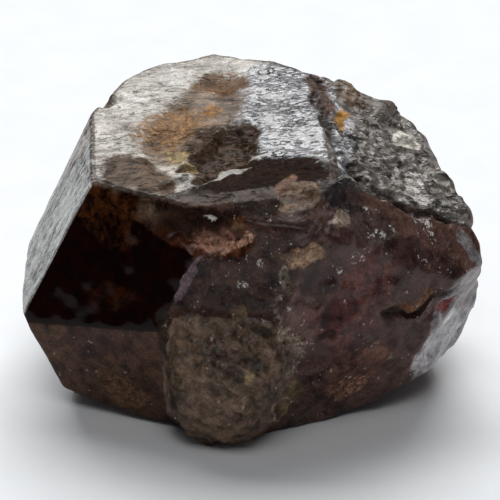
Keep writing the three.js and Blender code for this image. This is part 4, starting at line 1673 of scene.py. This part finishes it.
@dataclass(frozen=True)
class Studio:
    """Camera, floor, softbox and surroundings (mm and degrees, about the crystal's middle)."""

    target: tuple[float, float, float] = (SET_DOWN[0], SET_DOWN[1], MIDDLE[2])
    camera_height: float = 25.0
    camera_distance: float = 250.0
    lens: float = 328.5
    sensor: float = 36.0
    clip_m: tuple[float, float] = (0.01, 20.0)
    view_rise: float = 0.274
    floor_half: float = 1500.0
    floor: PlainFinish = PlainFinish("pale floor", (0.78, 0.8, 0.815), (0.8, 0.82, 0.835), 1.0, 0.3, 0.0)
    softbox: Lamp = Lamp("softbox", 92.0, 49.0, 2400.0, (2500.0, 1750.0), 6.7)
    fill: Lamp = Lamp("fill", -95.0, 60.0, 350.0, (170.0, 170.0), 3.0)
    dim: Colour = (0.08, 0.08, 0.085)
    pale: Colour = (0.82, 0.87, 0.9)

    def build(self) -> None:
        """Makes everything in the studio."""
        self.make_camera()
        self.make_floor()
        self.make_lights()
        self.make_world()
        bpy.context.scene.view_settings.view_transform = "Standard"

    def make_camera(self) -> None:
        """The camera, looking down at the stone."""
        angle = math.radians(self.camera_height)
        back = Vector((0.0, -math.cos(angle), math.sin(angle)))
        up = Vector((0.0, math.sin(angle), math.cos(angle)))
        camera = bpy.data.cameras.new("camera")
        camera.lens, camera.sensor_width = self.lens, self.sensor
        camera.clip_start, camera.clip_end = self.clip_m
        holder = bpy.data.objects.new("camera", camera)
        holder.location = (Vector(self.target) + back * self.camera_distance + up * self.view_rise) * MM
        holder.rotation_euler = (-back).to_track_quat("-Z", "Y").to_euler()
        bpy.context.scene.collection.objects.link(holder)
        bpy.context.scene.camera = holder

    def make_floor(self) -> None:
        """The plain pale floor."""
        half = self.floor_half * MM
        mesh = bpy.data.meshes.new("floor")
        corners = [(-half, -half, 0.0), (half, -half, 0.0), (half, half, 0.0), (-half, half, 0.0)]
        mesh.from_pydata(corners, [], [(0, 1, 2, 3)])
        mesh.materials.append(self.floor.build())
        floor = bpy.data.objects.new("floor", mesh)
        bpy.context.scene.collection.objects.link(floor)

    def make_lights(self) -> None:
        """A large soft light behind and above the stone, and a weaker one over the camera."""
        self.softbox.build()
        self.fill.build()

    def make_world(self) -> None:
        """Dim surroundings that look pale where the view passes the floor."""
        world = bpy.data.worlds.new("studio")
        bpy.context.scene.world = world
        world.use_nodes = True
        sheet = Sheet(world.node_tree)
        seen = sheet.out(sheet.add("LightPath"), "Is Camera Ray")
        background = sheet.add("Background", Color=sheet.mix(seen, self.dim, self.pale))
        sheet.add("OutputWorld", Surface=background.outputs[0])


# ------------------------------------------------------------------------ main


def main() -> None:
    """Builds the studio and the crystal, and notes their sizes."""
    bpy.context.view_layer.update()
    Studio().build()
    LOG.info("studio ready")
    piece = Crystal().build()
    piece.data.materials.append(CrystalFinish().build())
    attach(piece, "root")
    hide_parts(NODE)
    LOG.info("crystal: %d triangles", len(piece.data.polygons))
    fleck_finish = PlainFinish("flecks", (0.1, 0.09, 0.085), (0.5, 0.48, 0.46), 0.5, 1.5)
    flecks = Flecks().build(piece, fleck_finish.build())
    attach(flecks, "root")
    LOG.info("flecks: %d triangles", len(flecks.data.polygons))


if __name__ == "__main__":
    logging.basicConfig(level=logging.INFO, format="%(message)s")
    main()
